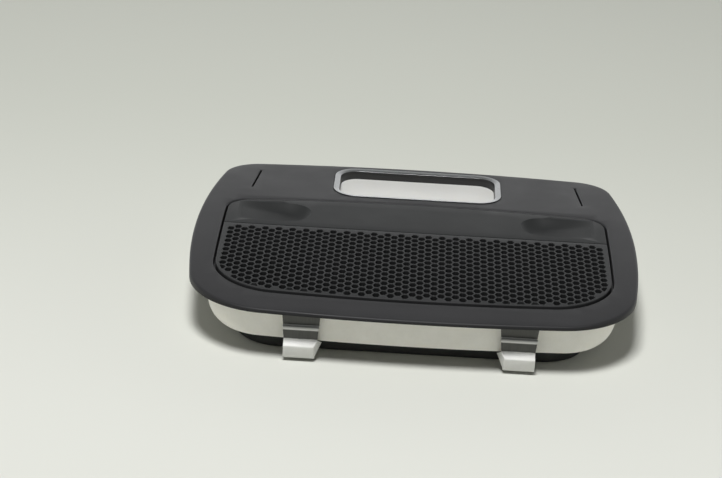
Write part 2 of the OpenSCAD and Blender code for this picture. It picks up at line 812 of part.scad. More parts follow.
module lamp_housing() {
    color("#c9c6b6") difference() {
        union() {
            difference() {
                tub_body(0, back_z);
                intersection() {
                    tub_body(tub_wall, back_z + over);
                    translate([-body_w / 2, -body_l / 2, floor_top]) cube([body_w, body_l, tub_h]);
                }
            }
            for (p = housing_screw_places) translate([p.x, p.y, floor_top - over])
                cylinder(d = boss_d, h = back_z - bezel_boss_h - floor_top + over, $fn = 48);
            for (p = cover_screw_places) translate([p.x, p.y, tub_z])
                cylinder(d = boss_d, h = tub_wall + cover_boss_h, $fn = 48);
            for (x = [-1, 1], y = board_post_y) translate([x * board_post_x, y, tub_z])
                cylinder(d = board_post_d, h = board_z - tub_z, $fn = 48);
            for (x = [-1, 1]) translate([x * pocket_post_x, pocket_y, tub_z])
                cylinder(d = board_post_d, h = board_z - tub_z, $fn = 48);
            both_sides() clip_seat();
            both_sides() hook();
        }
        translate([0, cover_mid, tub_z - over]) linear_extrude(tub_wall + cover_boss_h + 2 * over)
            round_rect(cover_w - 2 * window_ledge, cover_l - 2 * window_ledge, window_corner);
        for (p = housing_screw_places) translate([p.x, p.y, 0]) {
            cylinder(d = screw_head_d + 2 * head_fit, h = head_seat_z, $fn = 48);
            cylinder(r = screw_d / 2 + screw_fit, h = back_z, $fn = 32);
        }
        for (p = cover_screw_places) translate([p.x, p.y, 0]) cylinder(d = screw_d, h = back_z, $fn = 32);
        for (x = [-1, 1], y = board_post_y) translate([x * board_post_x, y, board_top - board_screw_h])
            cylinder(d = screw_d, h = back_z, $fn = 32);
        for (x = [-1, 1]) translate([x * pocket_post_x, pocket_y, board_top - board_screw_h])
            cylinder(d = screw_d, h = back_z, $fn = 32);
    }
}

module housing_screws() {
    color("#9a9c9e") for (p = housing_screw_places) translate([p.x, p.y, head_seat_z])
        screw_up(back_z - head_seat_z - over);
}

// Shallow hook on the tub's bowed rear wall
hook_w = 12;
hook_h = 4;
hook_drop = 7.7;
hook_y = tub_y + tub_l - rear_bow + sqrt(rear_bow * rear_bow - hook_x * hook_x);

module hook() {
    translate([hook_x - hook_w / 2, hook_y - tub_wall, back_z - hook_drop])
        cube([hook_w, tub_wall + hook_l, hook_h]);
}

// Lower cover with a post for each of its screws
cover_boss_h = 1.4;
cover_post_d = 8;

module lower_cover() {
    color("#222322") difference() {
        union() {
            translate([0, cover_mid, cover_z]) difference() {
                linear_extrude(cover_h) round_rect(cover_w, cover_l, cover_corner);
                translate([0, 0, cover_wall]) linear_extrude(cover_h)
                    round_rect(cover_w - 2 * cover_wall, cover_l - 2 * cover_wall, cover_corner - cover_wall);
            }
            for (p = cover_screw_places) translate([p.x, p.y, cover_z])
                cylinder(d = cover_post_d, h = cover_h, $fn = 48);
        }
        for (p = cover_screw_places) translate([p.x, p.y, cover_z - over]) {
            cylinder(d = screw_head_d + 2 * head_fit, h = cover_seat_z - cover_z + over, $fn = 48);
            cylinder(r = screw_d / 2 + screw_fit, h = cover_h + 2 * over, $fn = 32);
        }
        translate([-plug_neck_w / 2, cover_y + cover_l - cover_wall - over, plug_z - plug_neck_h / 2])
            cube([plug_neck_w, cover_wall + 2 * over, plug_neck_h]);
    }
}

module cover_screws() {
    color("#9a9c9e") for (p = cover_screw_places) translate([p.x, p.y, cover_seat_z])
        screw_up(tub_z + tub_wall + cover_boss_h - cover_seat_z - over);
}

// Connector behind the lower cover, with its neck through the cover's rear wall
plug_gap = 0.6;
plug_h = cover_h - 2 * plug_gap;
plug_z = cover_z + cover_h / 2;
plug_y = cover_y + cover_l;
plug_neck_side = 2;
plug_neck_w = plug_w - 2 * plug_neck_side;
plug_neck_h = 3;
plug_back = 2.4;
pin_count = 9;
pin_places = [for (i = [0:pin_count - 1]) (i - (pin_count - 1) / 2) * pin_pitch];
pin_recess = 5.5;
pin_reach = plug_l - pin_recess;
pin_inset = 1;
pin_board_y = board_y + board_l - pin_inset;

module connector_shell() {
    color("#202224") difference() {
        union() {
            translate([-plug_w / 2, plug_y, plug_z - plug_h / 2]) cube([plug_w, plug_l, plug_h]);
            translate([-plug_neck_w / 2, plug_y - cover_wall - over, plug_z - plug_neck_h / 2])
                cube([plug_neck_w, cover_wall + 2 * over, plug_neck_h]);
        }
        translate([-plug_w / 2 + plug_wall, plug_y + plug_back, plug_z - plug_h / 2 + plug_wall])
            cube([plug_w - 2 * plug_wall, plug_l, plug_h - 2 * plug_wall]);
        for (x = pin_places) translate([x, plug_y, plug_z]) cube([pin_a, 2 * plug_l, pin_a], center = true);
    }
}

module connector_pins() {
    color("#c8b878") for (x = pin_places)
        translate([x - pin_a / 2, pin_board_y - pin_a / 2, plug_z - pin_a / 2]) {
            cube([pin_a, plug_y + pin_reach - pin_board_y, pin_a]);
            cube([pin_a, pin_a, board_top + board_t / 2 - plug_z + pin_a / 2]);
        }
}

// Spring clips: distances behind the bezel's front edge at the clip, and heights
clip_y = front + front_bow - sqrt(front_bow * front_bow - clip_x * clip_x);
leg_y = 4.5;
jog_y = 3.3;
waist_y = 3.7;
foot_y = 1;
jog_h = 1.6;
waist_h = 5.1;
foot_z = cover_z + clip_lift;
facet_z = foot_z + foot_h;
waist_z = facet_z + facet_h;
jog_z = waist_z + waist_h;
leg_z = jog_z + jog_h;
seat_gap = 0.8;
seat_face = front_lip - seat_gap;
seat_side = 1;
stud_d = 3;
stud_h = 1.4;
seat_h = 7.5;
seat_z = back_z - seat_h;

// Outer face of the clip's front leg, from the bezel down to the foot
leg_path = [[leg_y, back_z], [leg_y, leg_z], [jog_y, jog_z], [waist_y, waist_z], [foot_y, facet_z],
    [foot_y, foot_z]];

// Puts a profile of distances and heights across a width
module across(x, w) translate([x - w / 2, clip_y, 0]) rotate([90, 0, 90]) linear_extrude(w) children();

// Left edge of the foot's inner side at a distance behind the bezel's edge
function inner_side(y) = -clip_w / 2 + foot_splay * (waist_y - y) / foot_l;

module clip_seat() {
    translate([clip_x - clip_w / 2 - seat_side, clip_y + seat_face, seat_z])
        cube([clip_w + 2 * seat_side, 2 * seat_gap + tub_wall, back_z - seat_z]);
    translate([clip_x, clip_y + seat_face, (seat_z + back_z) / 2]) rotate([90, 0, 0])
        cylinder(d = stud_d, h = stud_h, $fn = 32);
}

module clip() {
    color("#b9bab5") difference() {
        union() {
            intersection() {
                across(clip_x, clip_w) polygon(concat(leg_path,
                    [for (i = [len(leg_path) - 1:-1:0]) leg_path[i] + [clip_t, i == 0 ? -clip_t : 0]]));
                translate([clip_x, clip_y, 0]) linear_extrude(back_z)
                    polygon([[inner_side(foot_y), foot_y], [clip_w / 2, foot_y], [clip_w / 2, front_lip],
                        [-clip_w / 2, front_lip], [-clip_w / 2, waist_y]]);
            }
            across(clip_x, clip_w) polygon([[leg_y, back_z], [leg_y, back_z - clip_t],
                [seat_face - clip_t, back_z - clip_t], [seat_face - clip_t, seat_z], [seat_face, seat_z],
                [seat_face, back_z]]);
            intersection() {
                across(clip_x, 2 * clip_w) polygon([[foot_y, foot_z], [foot_y, facet_z], [waist_y, waist_z],
                    [foot_y + foot_l, facet_z]]);
                translate([clip_x, clip_y, 0]) linear_extrude(back_z) {
                    polygon([[inner_side(foot_y), foot_y], [inner_side(foot_y) + clip_t, foot_y],
                        [inner_side(foot_y + foot_l) + clip_t, foot_y + foot_l],
                        [inner_side(foot_y + foot_l), foot_y + foot_l]]);
                    translate([clip_w / 2 - clip_t, foot_y]) square([clip_t, foot_l]);
                }
            }
        }
        translate([clip_x, clip_y + seat_face + over, (seat_z + back_z) / 2]) rotate([90, 0, 0])
            cylinder(d = stud_d + 2 * head_fit, h = clip_t + 2 * over, $fn = 32);
    }
}

module left_clip() mirror([1, 0, 0]) clip();
module right_clip() clip();

bezel();
insert_frame();
louvre_grille();
light_diffuser();
reflector_tray();
rocker_key();
pivot_pin();
rocker_bracket();
bracket_screws();
left_plunger();
right_plunger();
left_switch();
right_switch();
circuit_board();
reading_leds();
driver_chips();
board_screws();
board_jumper();
pocket_ring();
pocket_well();
pocket_lens();
pocket_board();
pocket_leds();
left_mic_seal();
right_mic_seal();
left_microphone();
right_microphone();
lamp_housing();
housing_screws();
lower_cover();
cover_screws();
connector_shell();
connector_pins();
left_clip();
right_clip();
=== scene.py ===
"""Looks of a car interior light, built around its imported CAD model.

Lengths in the classes below are millimetres in the CAD's own frame: +X to the right, +Y to the rear,
+Z out of the visible face, z = 0 on the surface that the part lies on. Shell turns them into metres.
"""

import json
import logging
import math
from collections.abc import Callable
from dataclasses import dataclass
from enum import Enum

import bmesh
import bpy
from mathutils import Matrix, Vector
from mathutils.geometry import delaunay_2d_cdt

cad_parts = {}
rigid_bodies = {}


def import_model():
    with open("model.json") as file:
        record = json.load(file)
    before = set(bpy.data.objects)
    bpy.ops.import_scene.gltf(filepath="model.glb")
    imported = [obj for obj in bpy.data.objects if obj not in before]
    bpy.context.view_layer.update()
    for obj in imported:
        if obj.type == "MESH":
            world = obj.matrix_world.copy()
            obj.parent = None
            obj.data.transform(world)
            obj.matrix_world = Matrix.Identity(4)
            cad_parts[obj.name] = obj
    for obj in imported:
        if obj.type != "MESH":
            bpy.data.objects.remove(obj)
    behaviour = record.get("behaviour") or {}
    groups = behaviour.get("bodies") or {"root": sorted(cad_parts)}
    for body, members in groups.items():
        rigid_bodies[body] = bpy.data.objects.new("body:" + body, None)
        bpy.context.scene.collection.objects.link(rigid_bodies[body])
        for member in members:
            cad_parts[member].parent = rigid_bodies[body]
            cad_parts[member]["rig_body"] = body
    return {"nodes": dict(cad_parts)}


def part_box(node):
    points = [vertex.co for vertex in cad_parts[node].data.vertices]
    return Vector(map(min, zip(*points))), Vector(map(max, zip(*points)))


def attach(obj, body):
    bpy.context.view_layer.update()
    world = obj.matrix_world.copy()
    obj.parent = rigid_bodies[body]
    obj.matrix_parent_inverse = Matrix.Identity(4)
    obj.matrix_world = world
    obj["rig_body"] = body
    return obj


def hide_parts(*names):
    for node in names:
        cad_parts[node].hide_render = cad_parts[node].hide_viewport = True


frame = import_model()

log = logging.getLogger("interior_light")

MM = 0.001
# How far a cutter reaches past what it cuts, and the least radius of a corner
OVER = 1.0
LEAST_CORNER = 0.001

Point = tuple[float, float]
Point3 = tuple[float, float, float]
Height = Callable[[float, float], float]
Tree = bpy.types.NodeTree
Socket = bpy.types.NodeSocket
Settings = dict[str | int, object]
Links = dict[str | int, Socket]


class Side(Enum):
    """Side of the part, as the sign of x."""

    LEFT = -1
    RIGHT = 1


# Shapes in plan


def meeting(p: Point, p_radius: float, q: Point, q_radius: float, sign: int) -> Point:
    """Finds where two circles meet.

    Args:
        p: Centre of the first circle.
        p_radius: Its radius.
        q: Centre of the second circle.
        q_radius: Its radius.
        sign: Which of the two meeting points is wanted, 1 or -1.

    Returns:
        The meeting point.
    """
    dx, dy = q[0] - p[0], q[1] - p[1]
    apart = math.hypot(dx, dy)
    along = (p_radius**2 - q_radius**2 + apart**2) / (2 * apart)
    aside = sign * math.sqrt(p_radius**2 - along**2)
    return (p[0] + (dx * along - dy * aside) / apart, p[1] + (dy * along + dx * aside) / apart)


def heading(p: Point, q: Point) -> float:
    """Returns the direction from p to q in radians."""
    return math.atan2(q[1] - p[1], q[0] - p[0])


@dataclass(frozen=True)
class Arc:
    """Part of a circle, anticlockwise from start to end."""

    centre: Point
    radius: float
    start: float
    end: float
    steps: int

    def points(self, inset: float) -> list[Point]:
        """Returns points along the arc drawn in by inset, without the last one."""
        reach = self.radius - inset
        turns = [self.start + (self.end - self.start) * i / self.steps for i in range(self.steps)]
        return [(self.centre[0] + reach * math.cos(a), self.centre[1] + reach * math.sin(a)) for a in turns]

    def faces(self, x: float, y: float) -> bool:
        """Tells whether a point lies in the arc's sector."""
        turn = math.atan2(y - self.centre[1], x - self.centre[0])
        return self.start <= turn <= self.end

    def depth(self, x: float, y: float) -> float:
        """Returns how far a point lies inside the arc's circle."""
        return self.radius - math.hypot(x - self.centre[0], y - self.centre[1])


@dataclass(frozen=True)
class Outline:
    """Closed outline of bowed sides and round corners, mirrored about x = 0."""

    width: float
    length: float
    front: float
    front_bow: float
    rear_bow: float
    side_bow: float
    front_corner: float
    rear_corner: float
    wide_line: float
    bow_steps: int = 20
    corner_steps: int = 28

    def arcs(self) -> list[Arc]:
        """Returns the five arcs of the right half, from the front to the rear."""
        front = (0.0, self.front + self.front_bow)
        rear = (0.0, self.front + self.length - self.rear_bow)
        side = (self.width / 2 - self.side_bow, self.wide_line)
        near = meeting(front, self.front_bow - self.front_corner, side, self.side_bow - self.front_corner, 1)
        far = meeting(rear, self.rear_bow - self.rear_corner, side, self.side_bow - self.rear_corner, -1)
        centres = [front, near, side, far, rear]
        pairs = [(front, near), (side, near), (side, far), (rear, far)]
        turns = [-math.pi / 2, *(heading(p, q) for p, q in pairs), math.pi / 2]
        radii = [self.front_bow, self.front_corner, self.side_bow, self.rear_corner, self.rear_bow]
        steps = [self.bow_steps, self.corner_steps, self.bow_steps, self.corner_steps, self.bow_steps]
        return [Arc(*values) for values in zip(centres, radii, turns, turns[1:], steps)]

    def points(self, inset: float = 0.0) -> list[Point]:
        """Returns the outline drawn in by inset, anticlockwise from the middle of the front."""
        half = [p for arc in self.arcs() for p in arc.points(inset)]
        half.append((0.0, self.front + self.length - inset))
        return half + [(-x, y) for x, y in reversed(half[1:-1])]

    def depth(self, x: float, y: float) -> float:
        """Returns how far a point lies inside the outline, negative outside it."""
        front, front_corner, side, rear_corner, rear = self.arcs()
        x = abs(x)
        for corner in (front_corner, rear_corner):
            if corner.faces(x, y):
                return corner.depth(x, y)
        return min(front.depth(x, y), side.depth(x, y), rear.depth(x, y))


@dataclass(frozen=True)
class RoundRect:
    """Rectangle with round corners, about its own middle."""

    middle: Point
    width: float
    length: float
    corner: float
    lean: float = 0.0
    steps: int = 16

    def points(self, inset: float = 0.0) -> list[Point]:
        """Returns the outline drawn in by inset, anticlockwise."""
        reach = max(self.corner - inset, LEAST_CORNER)
        half_w, half_l = self.width / 2 - inset - reach, self.length / 2 - inset - reach
        loop = []
        for quarter, (sx, sy) in enumerate([(1, -1), (1, 1), (-1, 1), (-1, -1)]):
            for i in range(self.steps + 1):
                turn = math.pi / 2 * (quarter - 1 + i / self.steps)
                loop.append((sx * half_w + reach * math.cos(turn), sy * half_l + reach * math.sin(turn)))
        c, s = math.cos(self.lean), math.sin(self.lean)
        return [(self.middle[0] + x * c - y * s, self.middle[1] + x * s + y * c) for x, y in loop]

    def depth(self, x: float, y: float) -> float:
        """Returns how far a point lies inside the outline, negative outside it."""
        dx, dy = x - self.middle[0], y - self.middle[1]
        c, s = math.cos(self.lean), math.sin(self.lean)
        u = abs(dx * c + dy * s) - self.width / 2 + self.corner
        v = abs(dy * c - dx * s) - self.length / 2 + self.corner
        return self.corner - math.hypot(max(u, 0.0), max(v, 0.0)) - min(max(u, v), 0.0)


def circle(middle: Point, radius: float, steps: int = 48) -> list[Point]:
    """Returns the points of a circle, anticlockwise."""
    turns = [2 * math.pi * i / steps for i in range(steps)]
    return [(middle[0] + radius * math.cos(a), middle[1] + radius * math.sin(a)) for a in turns]


def area(loop: list[Point]) -> float:
    """Returns the area of a loop."""
    return abs(sum(a[0] * b[1] - b[0] * a[1] for a, b in zip(loop, loop[1:] + loop[:1]))) / 2


def scaled(loop: list[Point], factor: float) -> list[Point]:
    """Returns a loop scaled about the mean of its points."""
    x, y = (sum(values) / len(loop) for values in zip(*loop))
    return [(x + factor * (px - x), y + factor * (py - y)) for px, py in loop]


def trimmed(loop: list[Point], room: Height) -> list[Point]:
    """Cuts a loop off where it leaves a region.

    Args:
        loop: Its points.
        room: Distance of a point inside the region, negative outside it.

    Returns:
        The points inside, with one more wherever the loop crosses the region's edge.
    """
    rooms = [room(x, y) for x, y in loop]
    kept = []
    for a, b, here, there in zip(loop, loop[1:] + loop[:1], rooms, rooms[1:] + rooms[:1]):
        if here >= 0:
            kept.append(a)
        if here * there < 0:
            share = here / (here - there)
            kept.append((a[0] + share * (b[0] - a[0]), a[1] + share * (b[1] - a[1])))
    return kept


def rounding(depth: float, width: float, height: float) -> float:
    """Drop of an elliptic rounded edge.

    Args:
        depth: Distance inside the edge.
        width: Width of the rounding.
        height: Height of the rounding.

    Returns:
        The drop below the face, from height at the edge to nothing at width.
    """
    if depth >= width:
        return 0.0
    return height * (1 - math.sqrt(max(0.0, 1 - (1 - max(depth, 0.0) / width) ** 2)))


def rounding_steps(width: float, count: int) -> list[float]:
    """Returns the insets at which an elliptic rounded edge takes its rings."""
    return [width * (1 - math.cos(math.pi / 2 * k / count)) for k in range(count + 1)]


def filleted(path: list[Point], radii: list[float], steps: int = 5) -> list[Point]:
    """Rounds the inner corners of an open path.

    Args:
        path: Its corners.
        radii: Bend radius at each corner between the two ends.
        steps: Points on each bend.

    Returns:
        The points of the rounded path.
    """
    out = [path[0]]
    for before, at, after, radius in zip(path, path[1:], path[2:], radii):
        a, b, c = Vector(before), Vector(at), Vector(after)
        back, on = (a - b).normalized(), (c - b).normalized()
        half = back.angle(on) / 2
        reach = min(radius / math.tan(half), (a - b).length / 2, (c - b).length / 2)
        middle = b + (back + on).normalized() * reach / math.cos(half)
        start, end = b + back * reach - middle, b + on * reach - middle
        for i in range(steps + 1):
            spoke = start.slerp(end, i / steps) if start.length > 1e-6 else start
            out.append(tuple(middle + spoke))
    return out + [path[-1]]


# Meshes


def triangulated(
    points: list[Point], edges: list[tuple[int, int]], loops: list[list[int]]
) -> tuple[list[Vector], list[list[int]], list[list[int]], list[list[int]]]:
    """Triangulates points in plan.

    Args:
        points: The points.
        edges: Pairs of points that the triangles have to follow.
        loops: Loops of points, such as holes.

    Returns:
        The points, the triangles, the given points that each point stands for and the loops that
        each triangle lies in.
    """
    whole_hull, tolerance, with_origins = 0, 1e-6, True
    found = delaunay_2d_cdt([Vector(p) for p in points], edges, loops, whole_hull, tolerance, with_origins)
    verts, _, triangles, origins, _, inside = found
    return verts, triangles, origins, inside


class Shell:
    """Collects points and faces in millimetres and turns them into an object in metres."""

    def __init__(self) -> None:
        """Starts with nothing in it."""
        self.points: list[Point3] = []
        self.faces: list[tuple[int, ...]] = []

    def ring(self, loop: list[Point], height: Height | float) -> list[int]:
        """Adds a closed loop of points.

        Args:
            loop: Its points in plan.
            height: Its height, or a function of x and y that gives it.

        Returns:
            The numbers of its points.
        """
        first = len(self.points)
        level = height if callable(height) else lambda x, y: height
        self.points += [(x, y, level(x, y)) for x, y in loop]
        return list(range(first, len(self.points)))

    def loop(self, points: list[Point3]) -> list[int]:
        """Adds a closed loop of points in space and returns their numbers."""
        first = len(self.points)
        self.points += points
        return list(range(first, len(self.points)))

    def wall(self, *rings: list[int]) -> None:
        """Adds a closed strip of faces from each ring to the next."""
        for low, high in zip(rings, rings[1:]):
            count = len(low)
            for i in range(count):
                j = (i + 1) % count
                self.faces.append((low[i], low[j], high[j], high[i]))

    def lid(self, ring: list[int]) -> None:
        """Closes a ring with one face."""
        self.faces.append(tuple(ring))

    def fill(
        self, rings: list[list[int]], holes: list[list[int]], height: Height, spots: list[int] = ()
    ) -> None:
        """Fills the outermost ring with triangles and leaves the holes open.

        Args:
            rings: Convex loops of points, the outermost one and any that the faces have to follow.
            holes: Convex loops of points that stay open.
            height: Gives the height of a point that the loops share, from its x and y.
            spots: Loose points that the faces have to take in.
        """
        chosen = [i for loop in [*rings, *holes] for i in loop] + list(spots)
        local = {number: place for place, number in enumerate(chosen)}
        edges = [(local[a], local[b]) for loop in rings for a, b in zip(loop, loop[1:] + loop[:1])]
        open_faces = [[local[i] for i in loop] for loop in holes]
        flat = [self.points[i][:2] for i in chosen]
        verts, triangles, origins, inside = triangulated(flat, edges, open_faces)
        numbers = []
        for vert, origin in zip(verts, origins):
            if origin:
                numbers.append(chosen[origin[0]])
            else:
                numbers.append(len(self.points))
                self.points.append((vert.x, vert.y, height(vert.x, vert.y)))
        self.faces += [tuple(numbers[i] for i in t) for t, hole in zip(triangles, inside) if not hole]

    def solid(self, rings: list[list[int]]) -> None:
        """Adds a closed solid through rings."""
        self.wall(*rings)
        self.lid(rings[0])
        self.lid(rings[-1])

    def prism(self, loop: list[Point], low: float, high: float) -> None:
        """Adds an upright prism over a loop in plan."""
        self.solid([self.ring(loop, low), self.ring(loop, high)])

    def tube(self, middle: Point, profile: list[Point], steps: int = 48) -> None:
        """Adds a closed profile of (radius, height) points turned about an upright axis."""
        rings = [self.ring(circle(middle, radius, steps), z) for radius, z in profile]
        self.wall(*rings, rings[0])

    def plug(self, middle: Point, profile: list[Point]) -> None:
        """Adds a solid turned about an upright axis, through (radius, height) points from below upwards."""
        self.solid([self.ring(circle(middle, radius), z) for radius, z in profile])

    def screw_hole(self, middle: Point, recess_d: float, bore_d: float, levels: Point3) -> None:
        """Adds the cutter of a screw hole.

        Args:
            middle: Its place in plan.
            recess_d: Width of the recess for the head.
            bore_d: Width of the bore.
            levels: Height of its foot, of the head's seat and of its top.
        """
        low, seat, high = levels
        wide, narrow = recess_d / 2, bore_d / 2
        self.plug(middle, [(wide, low), (wide, seat), (narrow, seat), (narrow, high)])

    def bar(self, *loops: list[Point3]) -> None:
        """Adds a solid between closed loops of points in space."""
        self.solid([self.loop(points) for points in loops])

    def build(self, name: str, sharp: float = 35.0) -> bpy.types.Object:
        """Makes the object.

        Args:
            name: Its name.
            sharp: Angle in degrees from which an edge stays sharp.

        Returns:
            The object, in metres.
        """
        mesh = bpy.data.meshes.new(name)
        mesh.from_pydata([tuple(MM * v for v in p) for p in self.points], [], self.faces)
        settle(mesh, sharp)
        return add_object(name, mesh)


def add_object(name: str, data: bpy.types.ID) -> bpy.types.Object:
    """Adds an object to the scene.

    Args:
        name: Its name.
        data: Its mesh, lamp or camera data.

    Returns:
        The object.
    """
    obj = bpy.data.objects.new(name, data)
    bpy.context.scene.collection.objects.link(obj)
    return obj


def settle(mesh: bpy.types.Mesh, sharp: float) -> None:
    """Drops loose points, turns the faces outwards and shades them.

    Args:
        mesh: The mesh.
        sharp: Angle in degrees from which an edge stays sharp.
    """
    work = bmesh.new()
    work.from_mesh(mesh)
    bmesh.ops.delete(work, geom=[v for v in work.verts if not v.link_faces], context="VERTS")
    bmesh.ops.dissolve_degenerate(work, dist=1e-8, edges=work.edges)
    bmesh.ops.recalc_face_normals(work, faces=work.faces)
    work.to_mesh(mesh)
    work.free()
    mesh.shade_smooth()
    mesh.set_sharp_from_angle(angle=math.radians(sharp))


def bake_modifiers(obj: bpy.types.Object) -> None:
    """Turns an object's modifiers into its mesh."""
    graph = bpy.context.evaluated_depsgraph_get()
    mesh = bpy.data.meshes.new_from_object(obj.evaluated_get(graph))
    obj.modifiers.clear()
    obj.data = mesh


def carve(body: bpy.types.Object, joined: Shell | None, cut: Shell | None, sharp: float = 30.0) -> None:
    """Joins solids to a body and cuts others from it.

    Args:
        body: The object that is worked on.
        joined: Closed solids to join.
        cut: Closed solids to cut away.
        sharp: Angle in degrees from which an edge stays sharp.
    """
    for shell, operation in ((joined, "UNION"), (cut, "DIFFERENCE")):
        if shell is None:
            continue
        tool = shell.build(f"{body.name}_tool")
        step = body.modifiers.new(operation.lower(), "BOOLEAN")
        step.operation = operation
        step.solver = "EXACT"
        step.object = tool
        bake_modifiers(body)
        bpy.data.objects.remove(tool)
    settle(body.data, sharp)


def add_bevel(obj: bpy.types.Object, width: float, sharp: float) -> None:
    """Adds a modifier that rounds an object's sharp edges.

    Args:
        obj: The object.
        width: Width of the rounding in millimetres.
        sharp: Angle in degrees from which an edge is rounded.
    """
    step = obj.modifiers.new("edges", "BEVEL")
    step.width = width * MM
    step.segments = 2
    step.limit_method = "ANGLE"
    step.angle_limit = math.radians(sharp)


def soften(obj: bpy.types.Object, width: float, sharp: float) -> None:
    """Rounds an object's sharp edges for good.

    Args:
        obj: The object.
        width: Width of the rounding in millimetres.
        sharp: Angle in degrees from which an edge is rounded and stays sharp.
    """
    add_bevel(obj, width, sharp)
    bake_modifiers(obj)
    settle(obj.data, sharp)


def mirrored(obj: bpy.types.Object, name: str) -> bpy.types.Object:
    """Copies an object to the other side of x = 0.

    Args:
        obj: The object.
        name: Name of the copy.

    Returns:
        The copy.
    """
    mesh = obj.data.copy()
    mesh.transform(Matrix.Scale(-1, 4, Vector((1, 0, 0))))
    mesh.flip_normals()
    return add_object(name, mesh)


# Finishes


def linear(colour: str) -> tuple[float, float, float, float]:
    """Turns an sRGB hex colour such as #3c3c3b into linear red, green, blue and alpha."""
    parts = [int(colour[i : i + 2], 16) / 255 for i in (1, 3, 5)]
    return (*(c / 12.92 if c <= 0.04045 else ((c + 0.055) / 1.055) ** 2.4 for c in parts), 1.0)


def add_node(
    tree: Tree, kind: str, settings: Settings | None = None, links: Links | None = None
) -> bpy.types.Node:
    """Adds a node to a material or a world.

    Args:
        tree: The node tree.
        kind: Type of the node, without its ShaderNode prefix.
        settings: Values of its properties, or of its inputs by name or number.
        links: Sockets that feed its inputs, by name or number.

    Returns:
        The node.
    """
    node = tree.nodes.new(f"ShaderNode{kind}")
    for key, value in (settings or {}).items():
        if isinstance(key, str) and hasattr(node, key):
            setattr(node, key, value)
        else:
            node.inputs[key].default_value = value
    for key, socket in (links or {}).items():
        tree.links.new(socket, node.inputs[key])
    return node


def new_tree(name: str) -> tuple[bpy.types.Material, Tree, Socket]:
    """Makes an empty material.

    Args:
        name: Its name.

    Returns:
        The material, its node tree and the place on the object, which its patterns follow.
    """
    material = bpy.data.materials.new(name)
    material.use_nodes = True
    tree = material.node_tree
    tree.nodes.clear()
    return material, tree, add_node(tree, "TexCoord").outputs["Object"]


def per_metre(size_mm: float) -> float:
    """Scale of a texture whose features are of the given size in millimetres."""
    return 1 / (size_mm * MM)


def compute(tree: Tree, operation: str, *values: float | Socket) -> Socket:
    """Adds a calculation.

    Args:
        tree: The node tree.
        operation: Its name.
        values: What goes into it, numbers and sockets.

    Returns:
        The result.
    """
    settings = {i: value for i, value in enumerate(values) if isinstance(value, float)}
    links = {i: value for i, value in enumerate(values) if not isinstance(value, float)}
    return add_node(tree, "Math", {"operation": operation, **settings}, links).outputs[0]


def span(tree: Tree, value: Socket, reach: Point, low: float = 0.0, high: float = 1.0) -> Socket:
    """Turns a reach of values into values from low to high, and holds them there."""
    settings = {"From Min": reach[0], "From Max": reach[1], "To Min": low, "To Max": high}
    return add_node(tree, "MapRange", settings, {"Value": value}).outputs[0]


def blend(tree: Tree, share: Socket, first: str | Socket, second: str | Socket) -> Socket:
    """Mixes two colours, each a hex colour or a socket.

    Args:
        tree: The node tree.
        share: Share of the second colour.
        first: The first colour.
        second: The second colour.

    Returns:
        The mixed colour.
    """
    colours = {6: first, 7: second}
    settings = {number: linear(colour) for number, colour in colours.items() if isinstance(colour, str)}
    links = {number: colour for number, colour in colours.items() if not isinstance(colour, str)}
    return add_node(tree, "Mix", {"data_type": "RGBA", **settings}, {0: share, **links}).outputs[2]


def noise(tree: Tree, where: Socket, size_mm: float, detail: float, roughness: float = 0.5) -> Socket:
    """Adds noise whose features are of the given size."""
    settings = {"Scale": per_metre(size_mm), "Detail": detail, "Roughness": roughness}
    return add_node(tree, "TexNoise", settings, {"Vector": where}).outputs["Fac"]


def streaks(tree: Tree, where: Socket, size_mm: Point3) -> Socket:
    """Adds noise that is drawn out.

    Args:
        tree: The node tree.
        where: Place on the object.
        size_mm: Size of its features along the three axes.

    Returns:
        The noise.
    """
    scale = tuple(per_metre(size) for size in size_mm)
    drawn = add_node(tree, "Mapping", {"Scale": scale}, {"Vector": where}).outputs[0]
    return add_node(tree, "TexNoise", {"Scale": 1.0, "Detail": 2.0}, {"Vector": drawn}).outputs["Fac"]


def wander(tree: Tree, noise_value: Socket, middle: float, swing: float) -> Socket:
    """Turns noise, which mostly keeps between 0.3 and 0.7, into values around a middle."""
    return span(tree, noise_value, (0.3, 0.7), middle - swing, middle + swing)


def bump(tree: Tree, height: Socket, depth_mm: float) -> Socket:
    """Adds relief of the given depth."""
    return add_node(tree, "Bump", {"Distance": depth_mm * MM}, {"Height": height}).outputs[0]


def finished(material: bpy.types.Material, settings: Settings, links: Links) -> bpy.types.Material:
    """Ends a material with its shader.

    Args:
        material: The material.
        settings: Values of the shader's inputs.
        links: Sockets that feed the shader's inputs.

    Returns:
        The material.
    """
    shader = add_node(material.node_tree, "BsdfPrincipled", settings, links)
    add_node(material.node_tree, "OutputMaterial", links={"Surface": shader.outputs[0]})
    return material




